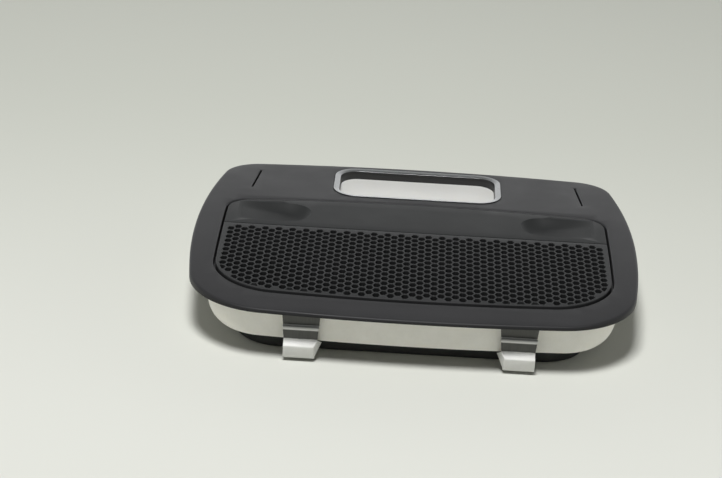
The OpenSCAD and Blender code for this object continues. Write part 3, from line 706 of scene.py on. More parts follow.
@dataclass(frozen=True)
class MouldedPlastic:
    """Injection moulded plastic, with the tool's grain on it.

    Its grain breaks up the reflections, its colour wanders a little with the melt's flow, and its
    roughness varies where hands have polished it.
    """

    name: str
    colour: str
    shade: str
    roughness: float
    grain_mm: float
    grain_depth_mm: float
    flow_mm: float = 30.0
    polish: float = 0.05
    specular: float = 0.5
    through: float = 0.0
    through_mm: float = 2.0
    through_colours: Point3 = (1.0, 0.9, 0.7)
    grain_share: float = 0.35
    tint_reach: Point = (0.45, 0.9)

    def material(self) -> bpy.types.Material:
        """Makes the material."""
        material, tree, where = new_tree(self.name)
        flow = noise(tree, where, self.flow_mm, detail=4.0, roughness=0.6)
        grain = noise(tree, where, self.grain_mm, detail=3.0, roughness=0.55)
        share = span(tree, compute(tree, "MULTIPLY_ADD", grain, self.grain_share, flow), self.tint_reach)
        settings = {"Specular IOR Level": self.specular, "IOR": 1.5}
        if self.through:
            settings |= {
                "Subsurface Weight": self.through, "Subsurface Scale": self.through_mm * MM,
                "Subsurface Radius": self.through_colours,
            }
        return finished(material, settings, {
            "Base Color": blend(tree, share, self.shade, self.colour),
            "Roughness": wander(tree, flow, self.roughness, self.polish),
            "Normal": bump(tree, grain, self.grain_depth_mm),
        })


@dataclass(frozen=True)
class WorkedMetal:
    """Metal with the marks of how its surface was made, drawn out along one axis.

    The marks spread the reflections across them, and a faint cloudiness keeps a large face alive. Where
    an upright shade colour is given, upright walls lose the metal and take that dark colour: bare plastic
    under a masked plate, and painted shade on the walls.
    """

    name: str
    colour: str
    shade: str
    roughness: float
    mark_mm: Point3
    mark_depth_mm: float
    cloud_mm: float = 6.0
    spread: float = 0.06
    upright_shade_colour: str = ""
    upright_shade_reach: Point = (0.3, 0.5)

    def material(self) -> bpy.types.Material:
        """Makes the material."""
        material, tree, where = new_tree(self.name)
        marks = streaks(tree, where, self.mark_mm)
        cloud = noise(tree, where, self.cloud_mm, detail=3.0)
        links = {
            "Base Color": blend(tree, wander(tree, cloud, middle=0.5, swing=0.5), self.shade, self.colour),
            "Roughness": wander(tree, marks, self.roughness, self.spread),
            "Normal": bump(tree, marks, self.mark_depth_mm),
        }
        # Painted shade: faces that stand upright lose the metal and turn dark
        if self.upright_shade_colour:
            normal = add_node(tree, "NewGeometry").outputs["True Normal"]
            upward = add_node(tree, "SeparateXYZ", links={0: normal}).outputs["Z"]
            links["Metallic"] = span(tree, upward, self.upright_shade_reach)
            links["Base Color"] = blend(tree, links["Metallic"], self.upright_shade_colour, links["Base Color"])
        return finished(material, {"Metallic": 1.0}, links)


@dataclass(frozen=True)
class DippedSteel:
    """Tempered spring steel whose foot is dipped in pale enamel.

    The strip stays dark and streaked along its rolling, the dip below its upper edge is bright and a
    little uneven, so that the foot stands out from the leg above it. A band around the jog is painted
    pale and non-metal: a painted highlight where the bend catches the light.
    """

    name: str
    steel: str
    streak: str
    dip: str
    dip_shade: str
    # Colour of the painted highlight on the jog
    jog_highlight: str
    dip_top_mm: float
    jog_mm: float
    jog_reach_mm: float
    steel_roughness: float
    dip_roughness: float
    mark_mm: Point3
    mark_depth_mm: float = 0.006
    run_mm: float = 3.0
    wander_mm: float = 0.4
    dip_blur_mm: float = 0.1
    highlight_blur_mm: float = 0.2

    def material(self) -> bpy.types.Material:
        """Makes the material."""
        material, tree, where = new_tree(self.name)
        marks = streaks(tree, where, self.mark_mm)
        runs = noise(tree, where, self.run_mm, detail=2.0)
        height = add_node(tree, "SeparateXYZ", links={0: where}).outputs["Z"]
        top, blur = self.dip_top_mm + self.wander_mm / 2, self.dip_blur_mm
        uneven = compute(tree, "MULTIPLY_ADD", runs, self.wander_mm * MM, height)
        dipped = span(tree, uneven, ((top + blur) * MM, (top - blur) * MM))
        # Painted highlight: a pale, non-metal band around the jog, where the bend would catch the light
        off_jog = compute(tree, "ABSOLUTE", compute(tree, "SUBTRACT", height, self.jog_mm * MM))
        reach, blur = self.jog_reach_mm, self.highlight_blur_mm
        painted_highlight = span(tree, off_jog, ((reach + blur) * MM, (reach - blur) * MM))
        steel = blend(tree, painted_highlight, blend(tree, marks, self.streak, self.steel), self.jog_highlight)
        enamel = blend(tree, runs, self.dip_shade, self.dip)
        return finished(material, {}, {
            "Base Color": blend(tree, dipped, steel, enamel),
            "Metallic": compute(tree, "SUBTRACT", 1.0, compute(tree, "MAXIMUM", dipped, painted_highlight)),
            "Roughness": span(tree, dipped, (0.0, 1.0), self.steel_roughness, self.dip_roughness),
            "Normal": bump(tree, marks, self.mark_depth_mm),
        })


@dataclass(frozen=True)
class SolderMask:
    """Glass-cloth laminate under green solder mask.

    The cloth's weave shows through the lacquer as a fine check, with copper tracks as paler lines.
    """

    name: str
    colour: str
    shade: str
    track: str
    roughness: float
    weave_mm: float
    track_mm: float
    track_depth_mm: float = 0.03
    track_reach: Point = (0.86, 0.92)

    def material(self) -> bpy.types.Material:
        """Makes the material."""
        material, tree, where = new_tree(self.name)
        checks = {
            "Scale": per_metre(self.weave_mm), "Color1": linear(self.colour), "Color2": linear(self.shade),
        }
        weave = add_node(tree, "TexChecker", checks, {"Vector": where}).outputs["Color"]
        # A wave texture has twenty times the scale in it
        bands = {
            "bands_direction": "X", "Scale": per_metre(self.track_mm) / 20, "Distortion": 6.0, "Detail": 1.0,
            "Detail Scale": 0.4,
        }
        wave = add_node(tree, "TexWave", bands, {"Vector": where}).outputs["Fac"]
        on_track = span(tree, wave, self.track_reach)
        return finished(material, {"Roughness": self.roughness}, {
            "Base Color": blend(tree, on_track, weave, self.track),
            "Normal": bump(tree, on_track, self.track_depth_mm),
        })


@dataclass(frozen=True)
class Foam:
    """Closed-cell foam, cut from sheet: matte, with its cut cells as small pits."""

    name: str
    colour: str
    pit: str
    cell_mm: float
    pit_depth_mm: float = 0.2
    roughness: float = 0.9
    specular: float = 0.2

    def material(self) -> bpy.types.Material:
        """Makes the material."""
        material, tree, where = new_tree(self.name)
        settings = {"Scale": per_metre(self.cell_mm)}
        cells = add_node(tree, "TexVoronoi", settings, {"Vector": where}).outputs["Distance"]
        return finished(material, {"Roughness": self.roughness, "Specular IOR Level": self.specular}, {
            "Base Color": blend(tree, cells, self.pit, self.colour),
            "Normal": bump(tree, cells, self.pit_depth_mm),
        })


# ABS moulded in a spark-eroded tool: a matte charcoal that lightens where it is seen at a low angle
BEZEL_ABS = MouldedPlastic("spark_eroded_abs_bezel", "#303031", "#2b2b2c", 0.45, 0.9, 0.012, specular=0.14)
# The same ABS on the grille, a shade darker because its webs are narrow and sit in their own shade
GRILLE_ABS = MouldedPlastic("spark_eroded_abs_grille", "#323233", "#2c2d2d", 0.5, 0.7, 0.008, specular=0.14)
# The same ABS on the key, finer, because fingers slide on it
KEY_ABS = MouldedPlastic("fine_grained_abs_key", "#2a2b2b", "#262727", 0.54, 0.7, 0.008, specular=0.16)
# Black PC/ABS of the frame and the bracket, straight from a plain tool
FRAME_ABS = MouldedPlastic("plain_moulded_abs_frame", "#242425", "#1d1d1e", 0.45, 1.4, 0.01)
# Grey glass-filled nylon: streaky, slightly rough
BRACKET_NYLON = MouldedPlastic("glass_filled_nylon_bracket", "#4b4c4b", "#3d3e3d", 0.55, 0.5, 0.02, 12.0)
# Acrylic sheet behind the grille, coloured near black: painted shade that keeps the cells dark
DIFFUSER_ACRYLIC = MouldedPlastic("frosted_acrylic_painted_cell_shade", "#121212", "#0d0d0d", 0.6, 1.2, 0.01)
# White ABS with a high titanium dioxide load: bright and even
REFLECTOR_ABS = MouldedPlastic("white_abs_reflector", "#e2e2dc", "#d8d8d1", 0.35, 1.6, 0.006)
# Acetal of the plungers: waxy off-white
PLUNGER_ACETAL = MouldedPlastic("acetal_plunger", "#d8d6cb", "#cbc9bc", 0.3, 1.0, 0.006, 8.0, through=0.3)
# PBT of the switch bodies
SWITCH_PBT = MouldedPlastic("pbt_switch", "#22272a", "#1b2023", 0.4, 0.5, 0.008)
# Epoxy of the chips, matte from its release agent
CHIP_EPOXY = MouldedPlastic("moulded_epoxy_chip", "#242628", "#1a1c1d", 0.6, 0.3, 0.01, 6.0)
# Diode package with yellow phosphor in silicone
LED_PHOSPHOR = MouldedPlastic("phosphor_silicone_led", "#e9d873", "#d9cc8a", 0.25, 0.6, 0.01, 3.0,
                              through=0.4)
# Polyimide film lead: amber, glossy
JUMPER_POLYIMIDE = MouldedPlastic("polyimide_film_lead", "#b98a35", "#a3762a", 0.22, 2.0, 0.004, 10.0)
# Black ABS wall of the pocket, polished by its tool
WELL_ABS = MouldedPlastic("plain_moulded_abs_well", "#2b2b2b", "#232323", 0.4, 1.5, 0.008)
# Opal polycarbonate of the lens: white in its depth, softly glossy
LENS_OPAL = MouldedPlastic("opal_polycarbonate_lens", "#cbcbc7", "#c6c6c2", 0.35, 2.5, 0.004, 40.0,
                           specular=0.3, through=0.2)
# Natural polypropylene of the housing: pale, a little translucent, clouded by the melt's flow
HOUSING_PP = MouldedPlastic("natural_polypropylene_housing", "#f8f6ed", "#efede3", 0.42, 1.8, 0.012, 18.0,
                            through=0.15)
# Polypropylene of the lower cover, coloured near black: painted shade for the dark under the tub
COVER_PP_PAINTED_SHADE = MouldedPlastic("polypropylene_cover_painted_shade", "#252624", "#1e1f1e", 0.55, 1.2, 0.012, 20.0)
# Glass-filled PBT of the connector
CONNECTOR_PBT = MouldedPlastic("glass_filled_pbt_connector", "#1d1f21", "#161819", 0.5, 0.5, 0.015, 8.0)
# Satin chrome plated on black ABS: soft, pale reflections on top; its upright walls are near black, bare
# plastic and painted shade on the ring's inner wall
RING_CHROME = WorkedMetal("satin_chrome_plate", "#aeafaf", "#a7a9aa", 0.33, (0.8, 0.8, 0.8), 0.0008,
                          upright_shade_colour="#1c1c1c")
# Tempered spring steel strip: dark, with a painted highlight on its jog, its foot dipped in pale enamel up to
# the waist
CLIP_STEEL = DippedSteel("dipped_spring_steel", steel="#5c5c5a", streak="#4c4c4a", dip="#e4e4e0",
                         dip_shade="#dadad5", jog_highlight="#cfcfcb", dip_top_mm=10.7, jog_mm=16.9, jog_reach_mm=0.95,
                         steel_roughness=0.45, dip_roughness=0.5, mark_mm=(0.4, 4.0, 6.0))
# Zinc plated steel of the screws
SCREW_ZINC = WorkedMetal("zinc_plated_steel", "#a9abad", "#8f9294", 0.35, (0.6, 0.6, 0.6), 0.008, 2.0)
# Ground steel of the pivot pin: rings around it
PIN_STEEL = WorkedMetal("ground_steel_pin", "#c6c8ca", "#b4b6b8", 0.22, (3.0, 0.15, 3.0), 0.002, 3.0)
# Drawn aluminium of the microphone capsules
CAPSULE_ALUMINIUM = WorkedMetal("drawn_aluminium_can", "#c3c5c6", "#aeb0b2", 0.3, (1.0, 1.0, 3.0), 0.004, 3.0)
# Tinned brass of the connector's pins
PIN_BRASS = WorkedMetal("tinned_brass_pin", "#cfc49a", "#b9ad80", 0.28, (0.3, 3.0, 0.3), 0.002, 2.0)
# Circuit board laminate
BOARD_FR4 = SolderMask("solder_masked_laminate", "#1c4b33", "#19442e", "#2b6a45", 0.35, 0.7, 2.4)
# Foam seals of the microphones
SEAL_FOAM = Foam("closed_cell_foam", "#3f4041", "#2a2b2c", 0.8)

Finish = MouldedPlastic | WorkedMetal | DippedSteel | SolderMask | Foam


class Wardrobe:
    """Makes each finish once and puts it on objects."""

    def __init__(self) -> None:
        """Starts with nothing made."""
        self.made: dict[str, bpy.types.Material] = {}

    def dress(self, obj: bpy.types.Object, finish: Finish) -> None:
        """Gives an object a finish.

        Args:
            obj: The object.
            finish: The finish.
        """
        if finish.name not in self.made:
            self.made[finish.name] = finish.material()
        obj.data.materials.clear()
        obj.data.materials.append(self.made[finish.name])


WARDROBE = Wardrobe()


def place(obj: bpy.types.Object, node: str, finish: Finish) -> None:
    """Lets an object stand for a CAD node.

    Args:
        obj: The object.
        node: Name of the node.
        finish: Its finish.
    """
    WARDROBE.dress(obj, finish)
    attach(obj, frame["nodes"][node]["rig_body"])
    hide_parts(node)
    log.info("%s stands for %s, %d faces", obj.name, node, len(obj.data.polygons))


# Levels and outlines that the pieces share


def millimetres(node: str) -> tuple[Point3, Point3]:
    """Returns the lowest and the highest corner of a CAD node in millimetres."""
    low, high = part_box(node)
    return tuple(v / MM for v in low), tuple(v / MM for v in high)


@dataclass(frozen=True)
class Face:
    """The crowned face and the levels that the pieces share, taken from the CAD."""

    low: Point3
    high: Point3
    back: float
    crown_rise: float = 3.3
    front_bow: float = 900.0
    rear_bow: float = 820.0
    side_bow: float = 430.0
    front_corner: float = 42.0
    rear_corner: float = 21.0
    widest: float = 94.0
    insert_at: float = 18.4
    insert_width: float = 202.8
    insert_rear_bow: float = 750.0
    insert_side_bow: float = 2400.0
    insert_front_corner: float = 34.0
    insert_rear_corner: float = 13.0
    insert_widest: float = 87.1
    groove: float = 1.1
    seam: float = 0.6

    @property
    def wide_line(self) -> float:
        """Line where the bezel is widest."""
        return self.low[1] + self.widest

    @property
    def crown_radius(self) -> float:
        """Radius of the crown, front to rear."""
        half = (self.high[1] - self.low[1]) / 2
        return (half**2 + self.crown_rise**2) / (2 * self.crown_rise)

    def z(self, x: float, y: float) -> float:
        """Height of the face, which is the same all along x."""
        return self.high[2] - self.crown_radius + math.sqrt(self.crown_radius**2 - y * y)

    def bezel_plan(self) -> Outline:
        """Outline of the bezel."""
        return Outline(self.high[0] * 2, self.high[1] - self.low[1], self.low[1], self.front_bow,
                       self.rear_bow, self.side_bow, self.front_corner, self.rear_corner, self.wide_line)

    def front_edge(self, x: float) -> float:
        """Front edge of the bezel at a distance x from its middle."""
        return self.low[1] + self.front_bow - math.sqrt(self.front_bow**2 - x * x)

    def insert_plan(self, rear: float) -> Outline:
        """Makes the outline of the opening for the grille and the key.

        Args:
            rear: Its rear edge.

        Returns:
            The outline.
        """
        front = self.low[1] + self.insert_at
        return Outline(self.insert_width, rear - front, front, self.front_bow, self.insert_rear_bow,
                       self.insert_side_bow, self.insert_front_corner, self.insert_rear_corner,
                       front + self.insert_widest)


def read_face() -> Face:
    """Reads the face's levels from the CAD."""
    low, high = millimetres("bezel")
    return Face(low, high, millimetres("insert_frame")[1][2])


# Screws that hold the housing in the bezel's posts
BEZEL_SCREWS: tuple[Point, ...] = ((78, -81.5), (-78, -81.5), (64, 83), (-64, 83))


# Pieces


@dataclass(frozen=True)
class Bezel:
    """Crowned bezel with its openings, its lip and its screw posts."""

    face: Face
    insert: Outline
    pocket: RoundRect
    slits: tuple[RoundRect, ...]
    edge_w: float = 1.5
    edge_h: float = 0.9
    lip_w: float = 2.4
    lip_h: float = 0.4
    rim_w: float = 1.0
    rim_h: float = 1.2
    pocket_round: float = 0.4
    slit_round: float = 0.5
    heel_round: float = 0.2
    post_d: float = 7.0
    post_bore: float = 3.0
    post_h: float = 8.0
    post_root: float = 0.8
    posts: tuple[Point, ...] = BEZEL_SCREWS
    spot_step: float = 7.0
    spot_gap: float = 1.0
    spot_edge: float = 1.5

    def height(self, x: float, y: float) -> float:
        """Height of the bezel's visible face."""
        drop = rounding(self.face.bezel_plan().depth(x, y), self.edge_w, self.edge_h)
        for opening, width, height in self.openings():
            drop += rounding(-opening.depth(x, y), width, height)
        return self.face.z(x, y) - drop

    def openings(self) -> list[tuple[Outline | RoundRect, float, float]]:
        """All openings through the plate, with the width and the drop of their rounded rims."""
        slits = [(slit, self.slit_round, self.slit_round) for slit in self.slits]
        pocket = (self.pocket, self.pocket_round, self.pocket_round)
        return [(self.insert, self.rim_w, self.rim_h), pocket, *slits]

    def spots(self) -> list[Point]:
        """Loose points on the open parts of the face."""
        plan = self.face.bezel_plan()
        columns, rows = (math.ceil(reach / self.spot_step) for reach in self.face.high[:2])
        found = []
        for i in range(-columns, columns + 1):
            for j in range(-rows, rows + 1):
                x, y = i * self.spot_step, j * self.spot_step
                clear = all(hole.depth(x, y) < -width - self.spot_gap for hole, width, _ in self.openings())
                if clear and plan.depth(x, y) > self.edge_w + self.spot_edge:
                    found.append((x, y))
        return found

    def build(self) -> bpy.types.Object:
        """Builds the bezel."""
        shell = Shell()
        plan, back = self.face.bezel_plan(), self.face.back
        heel = back - self.lip_h
        rings = [shell.ring(plan.points(d), self.height) for d in rounding_steps(self.edge_w, count=6)]
        low = [shell.ring(plan.points(rounding(d, self.heel_round, self.heel_round)), heel + d)
               for d in rounding_steps(self.heel_round, count=3)]
        lip = shell.ring(plan.points(self.lip_w), heel)
        step = shell.ring(plan.points(self.lip_w), back)
        shell.wall(step, lip, *low, rings[0])
        tops, bottoms = [], []
        for opening, width, _ in self.openings():
            around = [shell.ring(opening.points(-d), self.height) for d in rounding_steps(width, count=5)]
            tops.append(around[0])
            rings += around[1:]
            bottoms.append(shell.ring(opening.points(), back))
            shell.wall(around[0], bottoms[-1])
        spots = [shell.ring([p], self.height)[0] for p in self.spots()]
        shell.fill(rings, tops, self.height, spots)
        shell.fill([step], bottoms, lambda x, y: back)
        for post in self.posts:
            low_z, high_z = back - self.post_h, back + self.post_root
            bore, outer = self.post_bore / 2, self.post_d / 2
            shell.tube(post, [(bore, low_z), (outer, low_z), (outer, high_z), (bore, high_z)])
        return shell.build("bezel_moulding")


@dataclass(frozen=True)
class Grille:
    """Honeycomb grille under the crowned face, with a plain border."""

    face: Face
    insert: Outline
    rear: float
    pitch: float = 4.1
    web: float = 0.8
    stretch: float = 1.293
    border: float = 1.4
    seam_border: float = 2.6
    least_share: float = 0.5
    edge: float = 0.4
    proud: float = 0.6
    proud_run: float = 70.0
    cell_edge: float = 0.22
    mouth_scale: float = 1.07

    def clipped(self, inset: float) -> list[Point]:
        """Outline of the grille, drawn in by inset: the opening's, cut off at the seam."""
        return trimmed(self.insert.points(self.face.groove + inset), lambda x, y: self.rear - inset - y)

    def depth(self, x: float, y: float) -> float:
        """Distance of a point inside the grille's outline."""
        return min(self.insert.depth(x, y) - self.face.groove, self.rear - y)

    def top(self, x: float, y: float) -> float:
        """Height of the grille's face, which stands proud of the crown towards the front."""
        return self.face.z(x, y) + self.proud * min(max(-y / self.proud_run, 0.0), 1.0) ** 2

    def height(self, x: float, y: float) -> float:
        """Height of the grille's face, with its rounded outer edge."""
        return self.top(x, y) - rounding(self.depth(x, y), self.edge, self.edge)

    def room(self, x: float, y: float) -> float:
        """Distance of a point inside the honeycomb's field."""
        return min(self.insert.depth(x, y) - self.face.groove - self.border, self.rear - self.seam_border - y)

    def cell(self, middle: Point) -> list[Point]:
        """Corners of a cell, a hexagon drawn out along the part and cut off at the border."""
        corners = circle((0.0, 0.0), (self.pitch - self.web) / math.sqrt(3), 6)
        return trimmed([(middle[0] + x, middle[1] + y * self.stretch) for x, y in corners], self.room)

    def cells(self) -> list[list[Point]]:
        """Corners of all cells, without those that the border leaves too small."""
        across, along = self.pitch * math.sqrt(3) / 2, self.pitch * self.stretch
        side = self.pitch - self.web
        full = math.sqrt(3) / 2 * side**2 * self.stretch
        first = self.rear - self.seam_border - side / 2 * self.stretch
        columns, rows = math.ceil(self.insert.width / 2 / across), math.ceil(self.insert.length / along)
        found = []
        for i in range(-columns, columns + 1):
            for j in range(-1, rows + 1):
                middle = (i * across, first - along * (j + (i % 2) / 2))
                loop = self.cell(middle) if middle[1] > self.insert.front else []
                if area(loop) > self.least_share * full:
                    found.append(loop)
        return found

    def build(self) -> bpy.types.Object:
        """Builds the grille."""
        shell = Shell()
        top = [shell.ring(self.clipped(d), self.height) for d in rounding_steps(self.edge, count=4)]
        bottom = shell.ring(self.clipped(0), self.face.back)
        shell.wall(bottom, top[0])
        mouths, feet = [], []
        for cell in self.cells():
            mouth = shell.ring(scaled(cell, self.mouth_scale), self.top)
            throat = shell.ring(cell, lambda x, y: self.top(x, y) - self.cell_edge)
            foot = shell.ring(cell, self.face.back)
            shell.wall(mouth, throat, foot)
            mouths.append(mouth)
            feet.append(foot)
        shell.fill(top, mouths, self.height)
        shell.fill([bottom], feet, lambda x, y: self.face.back)
        return shell.build("honeycomb_grille", sharp=28.0)


@dataclass(frozen=True)
class Scoop:
    """Finger scoop: a ramp of constant width that sinks towards its round inner end.

    Its wall is steep on the near side and gentle on the far side.
    """

    side: Side
    face: Face
    middle_y: float
    width: float = 25.0
    depth: float = 3.6
    tip: float = 55.5
    run: float = 27.0
    near_wall: float = 2.2
    far_wall: float = 12.5
    rim_step: float = 3.0
    rim_turns: int = 32
    spot_step: float = 1.2
    spot_edge: float = 2.5

    @property
    def x(self) -> float:
        """Distance of the round end's middle from the key's middle."""
        return self.tip + self.width / 2

    def inside(self, x: float, y: float) -> float:
        """Returns how far a point lies inside the scoop's long sides and round end."""
        return self.width / 2 - math.hypot(max(self.x - self.side.value * x, 0.0), y - self.middle_y)

    def z(self, x: float, y: float, extra: float = 0.0) -> float:
        """Height of the scoop's surface.

        Args:
            x: Place across the key.
            y: Place along the part.
            extra: Thickness below the surface, for the underside of the cup.

        Returns:
            The height, that of the face outside the scoop.
        """
        far = min(max(0.5 + (y - self.middle_y) / self.width, 0.0), 1.0)
        wall = self.near_wall + (self.far_wall - self.near_wall) * far
        share = min(max(self.inside(x, y) + extra * (1 - far), 0.0) / wall, 1.0)
        slope = min(max(1 - (self.side.value * x - self.x) / self.run, 0.0), 1.0)
        return self.face.z(x, y) - self.depth * slope * (1 - (1 - share) ** 2) - extra

    def rim(self, shift: float) -> list[Point]:
        """Makes a loop around the scoop.

        Args:
            shift: How far it lies outside the scoop.

        Returns:
            Its points.
        """
        reach, length = self.width / 2 + shift, self.run + shift
        turns = [-math.pi * i / self.rim_turns for i in range(self.rim_turns + 1)]
        loop = [(self.x + reach * math.sin(a), self.middle_y - reach * math.cos(a)) for a in turns]
        count = int(length / self.rim_step)
        along = [length * i / count for i in range(1, count + 1)]
        loop += [(self.x + d, self.middle_y + reach) for d in along]
        loop += [(self.x + d, self.middle_y - reach) for d in reversed(along)]
        return [(self.side.value * x, y) for x, y in loop]

    def spots(self) -> list[Point]:
        """Loose points inside the scoop."""
        rows = math.ceil(self.width / 2 / self.spot_step)
        found = []
        for i in range(int((self.width / 2 + self.run) / self.spot_step)):
            for j in range(-rows, rows + 1):
                x = self.side.value * (self.tip + i * self.spot_step)
                y = self.middle_y + j * self.spot_step
                if self.inside(x, y) > self.spot_edge:
                    found.append((x, y))
        return found


@dataclass(frozen=True)
class RockerKey:
    """Rocker key with its two finger scoops, its pivot lug and its two pads."""

    face: Face
    insert: Outline
    front: float
    skin: float = 2.2
    cup_wall: float = 1.4
    edge: float = 0.3
    scoop_shift: float = 0.9
    lug_r: float = 3.0
    lug_l: float = 7.2
    lug_bore: float = 1.55
    lug_turns: int = 24
    pivot_drop: float = 1.6
    pad_x: float = 42.0
    pad_r: float = 3.0
    pad_drop: float = 2.4
    root: float = 1.1
    rim_shifts: tuple[float, ...] = (-2.2, -1.5, -0.9, -0.4, 0.0)
    spot_step: float = 6.0
    spot_columns: int = 8
    spot_rows: int = 5

    @property
    def rear(self) -> float:
        """Rear end of the key at its middle."""
        return self.insert.front + self.insert.length - self.face.groove

    @property
    def middle_y(self) -> float:
        """Line that the key turns about."""
        return (self.front - self.face.seam / 2 + self.rear) / 2

    def scoops(self) -> list[Scoop]:
        """The two scoops."""
        return [Scoop(side, self.face, self.middle_y - self.scoop_shift) for side in Side]

    def clipped(self, inset: float) -> list[Point]:
        """Outline of the key, drawn in by inset: the opening's, cut off at the seam."""
        return trimmed(self.insert.points(self.face.groove + inset), lambda x, y: y - self.front - inset)

    def depth(self, x: float, y: float) -> float:
        """Distance of a point inside the key's outline."""
        return min(self.insert.depth(x, y) - self.face.groove, y - self.front)

    def top(self, x: float, y: float) -> float:
        """Height of the key's face and its scoops."""
        drop = rounding(self.depth(x, y), self.edge, self.edge)
        return min(scoop.z(x, y) for scoop in self.scoops()) - drop

    def under(self, x: float, y: float) -> float:
        """Height of the key's underside, with a cup below each scoop."""
        return min(self.face.z(x, y) - self.skin, *(scoop.z(x, y, self.cup_wall) for scoop in self.scoops()))

    def skin_shell(self) -> Shell:
        """Builds the key's skin."""
        shell = Shell()
        loops = [self.clipped(d) for d in rounding_steps(self.edge, count=4)]
        rims = [scoop.rim(shift) for scoop in self.scoops() for shift in self.rim_shifts]
        spots = [p for scoop in self.scoops() for p in scoop.spots()]
        spots += [
            (i * self.spot_step, self.front + j * self.spot_step)
            for i in range(-self.spot_columns, self.spot_columns + 1) for j in range(1, self.spot_rows + 1)
        ]
        for height, edges in ((self.top, loops), (self.under, loops[:1])):
            rings = [shell.ring(loop, height) for loop in edges]
            around = [shell.ring(loop, height) for loop in rims]
            inner = [shell.ring([p], height)[0] for p in spots]
            shell.fill(rings + around, [], height, inner)
            if height == self.top:
                outer = rings[0]
        shell.wall(outer, rings[0])
        return shell

    def build(self) -> bpy.types.Object:
        """Builds the key."""
        shell = self.skin_shell()
        pivot = self.face.back - self.pivot_drop
        high = self.face.z(0, self.middle_y) - self.root
        arc = [math.pi + math.pi * i / self.lug_turns for i in range(self.lug_turns + 1)]
        section = [(self.lug_r * math.cos(a), pivot + self.lug_r * math.sin(a)) for a in arc]
        section += [(self.lug_r, high), (-self.lug_r, high)]
        ends = []
        for y in (self.middle_y - self.lug_l / 2, self.middle_y + self.lug_l / 2):
            outer = shell.loop([(x, y, z) for x, z in section])
            bore = shell.loop([(x, y, z) for x, z in circle((0, pivot), self.lug_bore, len(section))])
            ends.append((outer, bore))
        for a, b in zip(ends[0], ends[1]):
            shell.wall(a, b)
        for outer, bore in ends:
            self.web(shell, outer, bore)
        low = self.face.z(0, self.middle_y) - self.skin - self.pad_drop
        for side in Side:
            shell.prism(circle((side.value * self.pad_x, self.middle_y), self.pad_r), low, high)
        return shell.build("rocker_key_moulding", sharp=30.0)

    def web(self, shell: Shell, outer: list[int], bore: list[int]) -> None:
        """Fills the end of the lug between its outline and its bore.

        Args:
            shell: The shell it is added to.
            outer: The outline's points.
            bore: The bore's points.
        """
        flat = [(shell.points[i][0], shell.points[i][2]) for i in outer + bore]
        count = len(outer)
        edges = [(i, (i + 1) % count) for i in range(count)]
        edges += [(count + i, count + (i + 1) % len(bore)) for i in range(len(bore))]
        _, triangles, origins, _ = triangulated(flat, edges, [])
        for triangle in triangles:
            corners = [origins[i][0] for i in triangle]
            if any(c < count for c in corners):
                shell.faces.append(tuple((outer + bore)[c] for c in corners))


@dataclass(frozen=True)
class PocketRing:
    """Ring around the pocket, a plated band dished towards the lens."""

    face: Face
    plan: RoundRect
    band: float = 3.0
    proud: float = 0.4
    shoulder: float = 0.1
    lip: float = 0.1
    dish: float = 0.7

    def build(self) -> bpy.types.Object:
        """Builds the ring."""
        shell = Shell()
        profile = [(d, rounding(d, self.shoulder, self.shoulder))
                   for d in rounding_steps(self.shoulder, count=6)]
        profile += [(self.band - d, self.dish + rounding(d, self.lip, self.lip))
                    for d in reversed(rounding_steps(self.lip, count=4))]
        rings = [
            shell.ring(self.plan.points(d), lambda x, y, drop=drop: self.face.z(x, y) + self.proud - drop)
            for d, drop in profile
        ]
        foot_in = shell.ring(self.plan.points(self.band), self.face.back)
        foot_out = shell.ring(self.plan.points(0), self.face.back)
        shell.wall(foot_out, *rings, foot_in, foot_out)
        return shell.build("pocket_ring_plated")


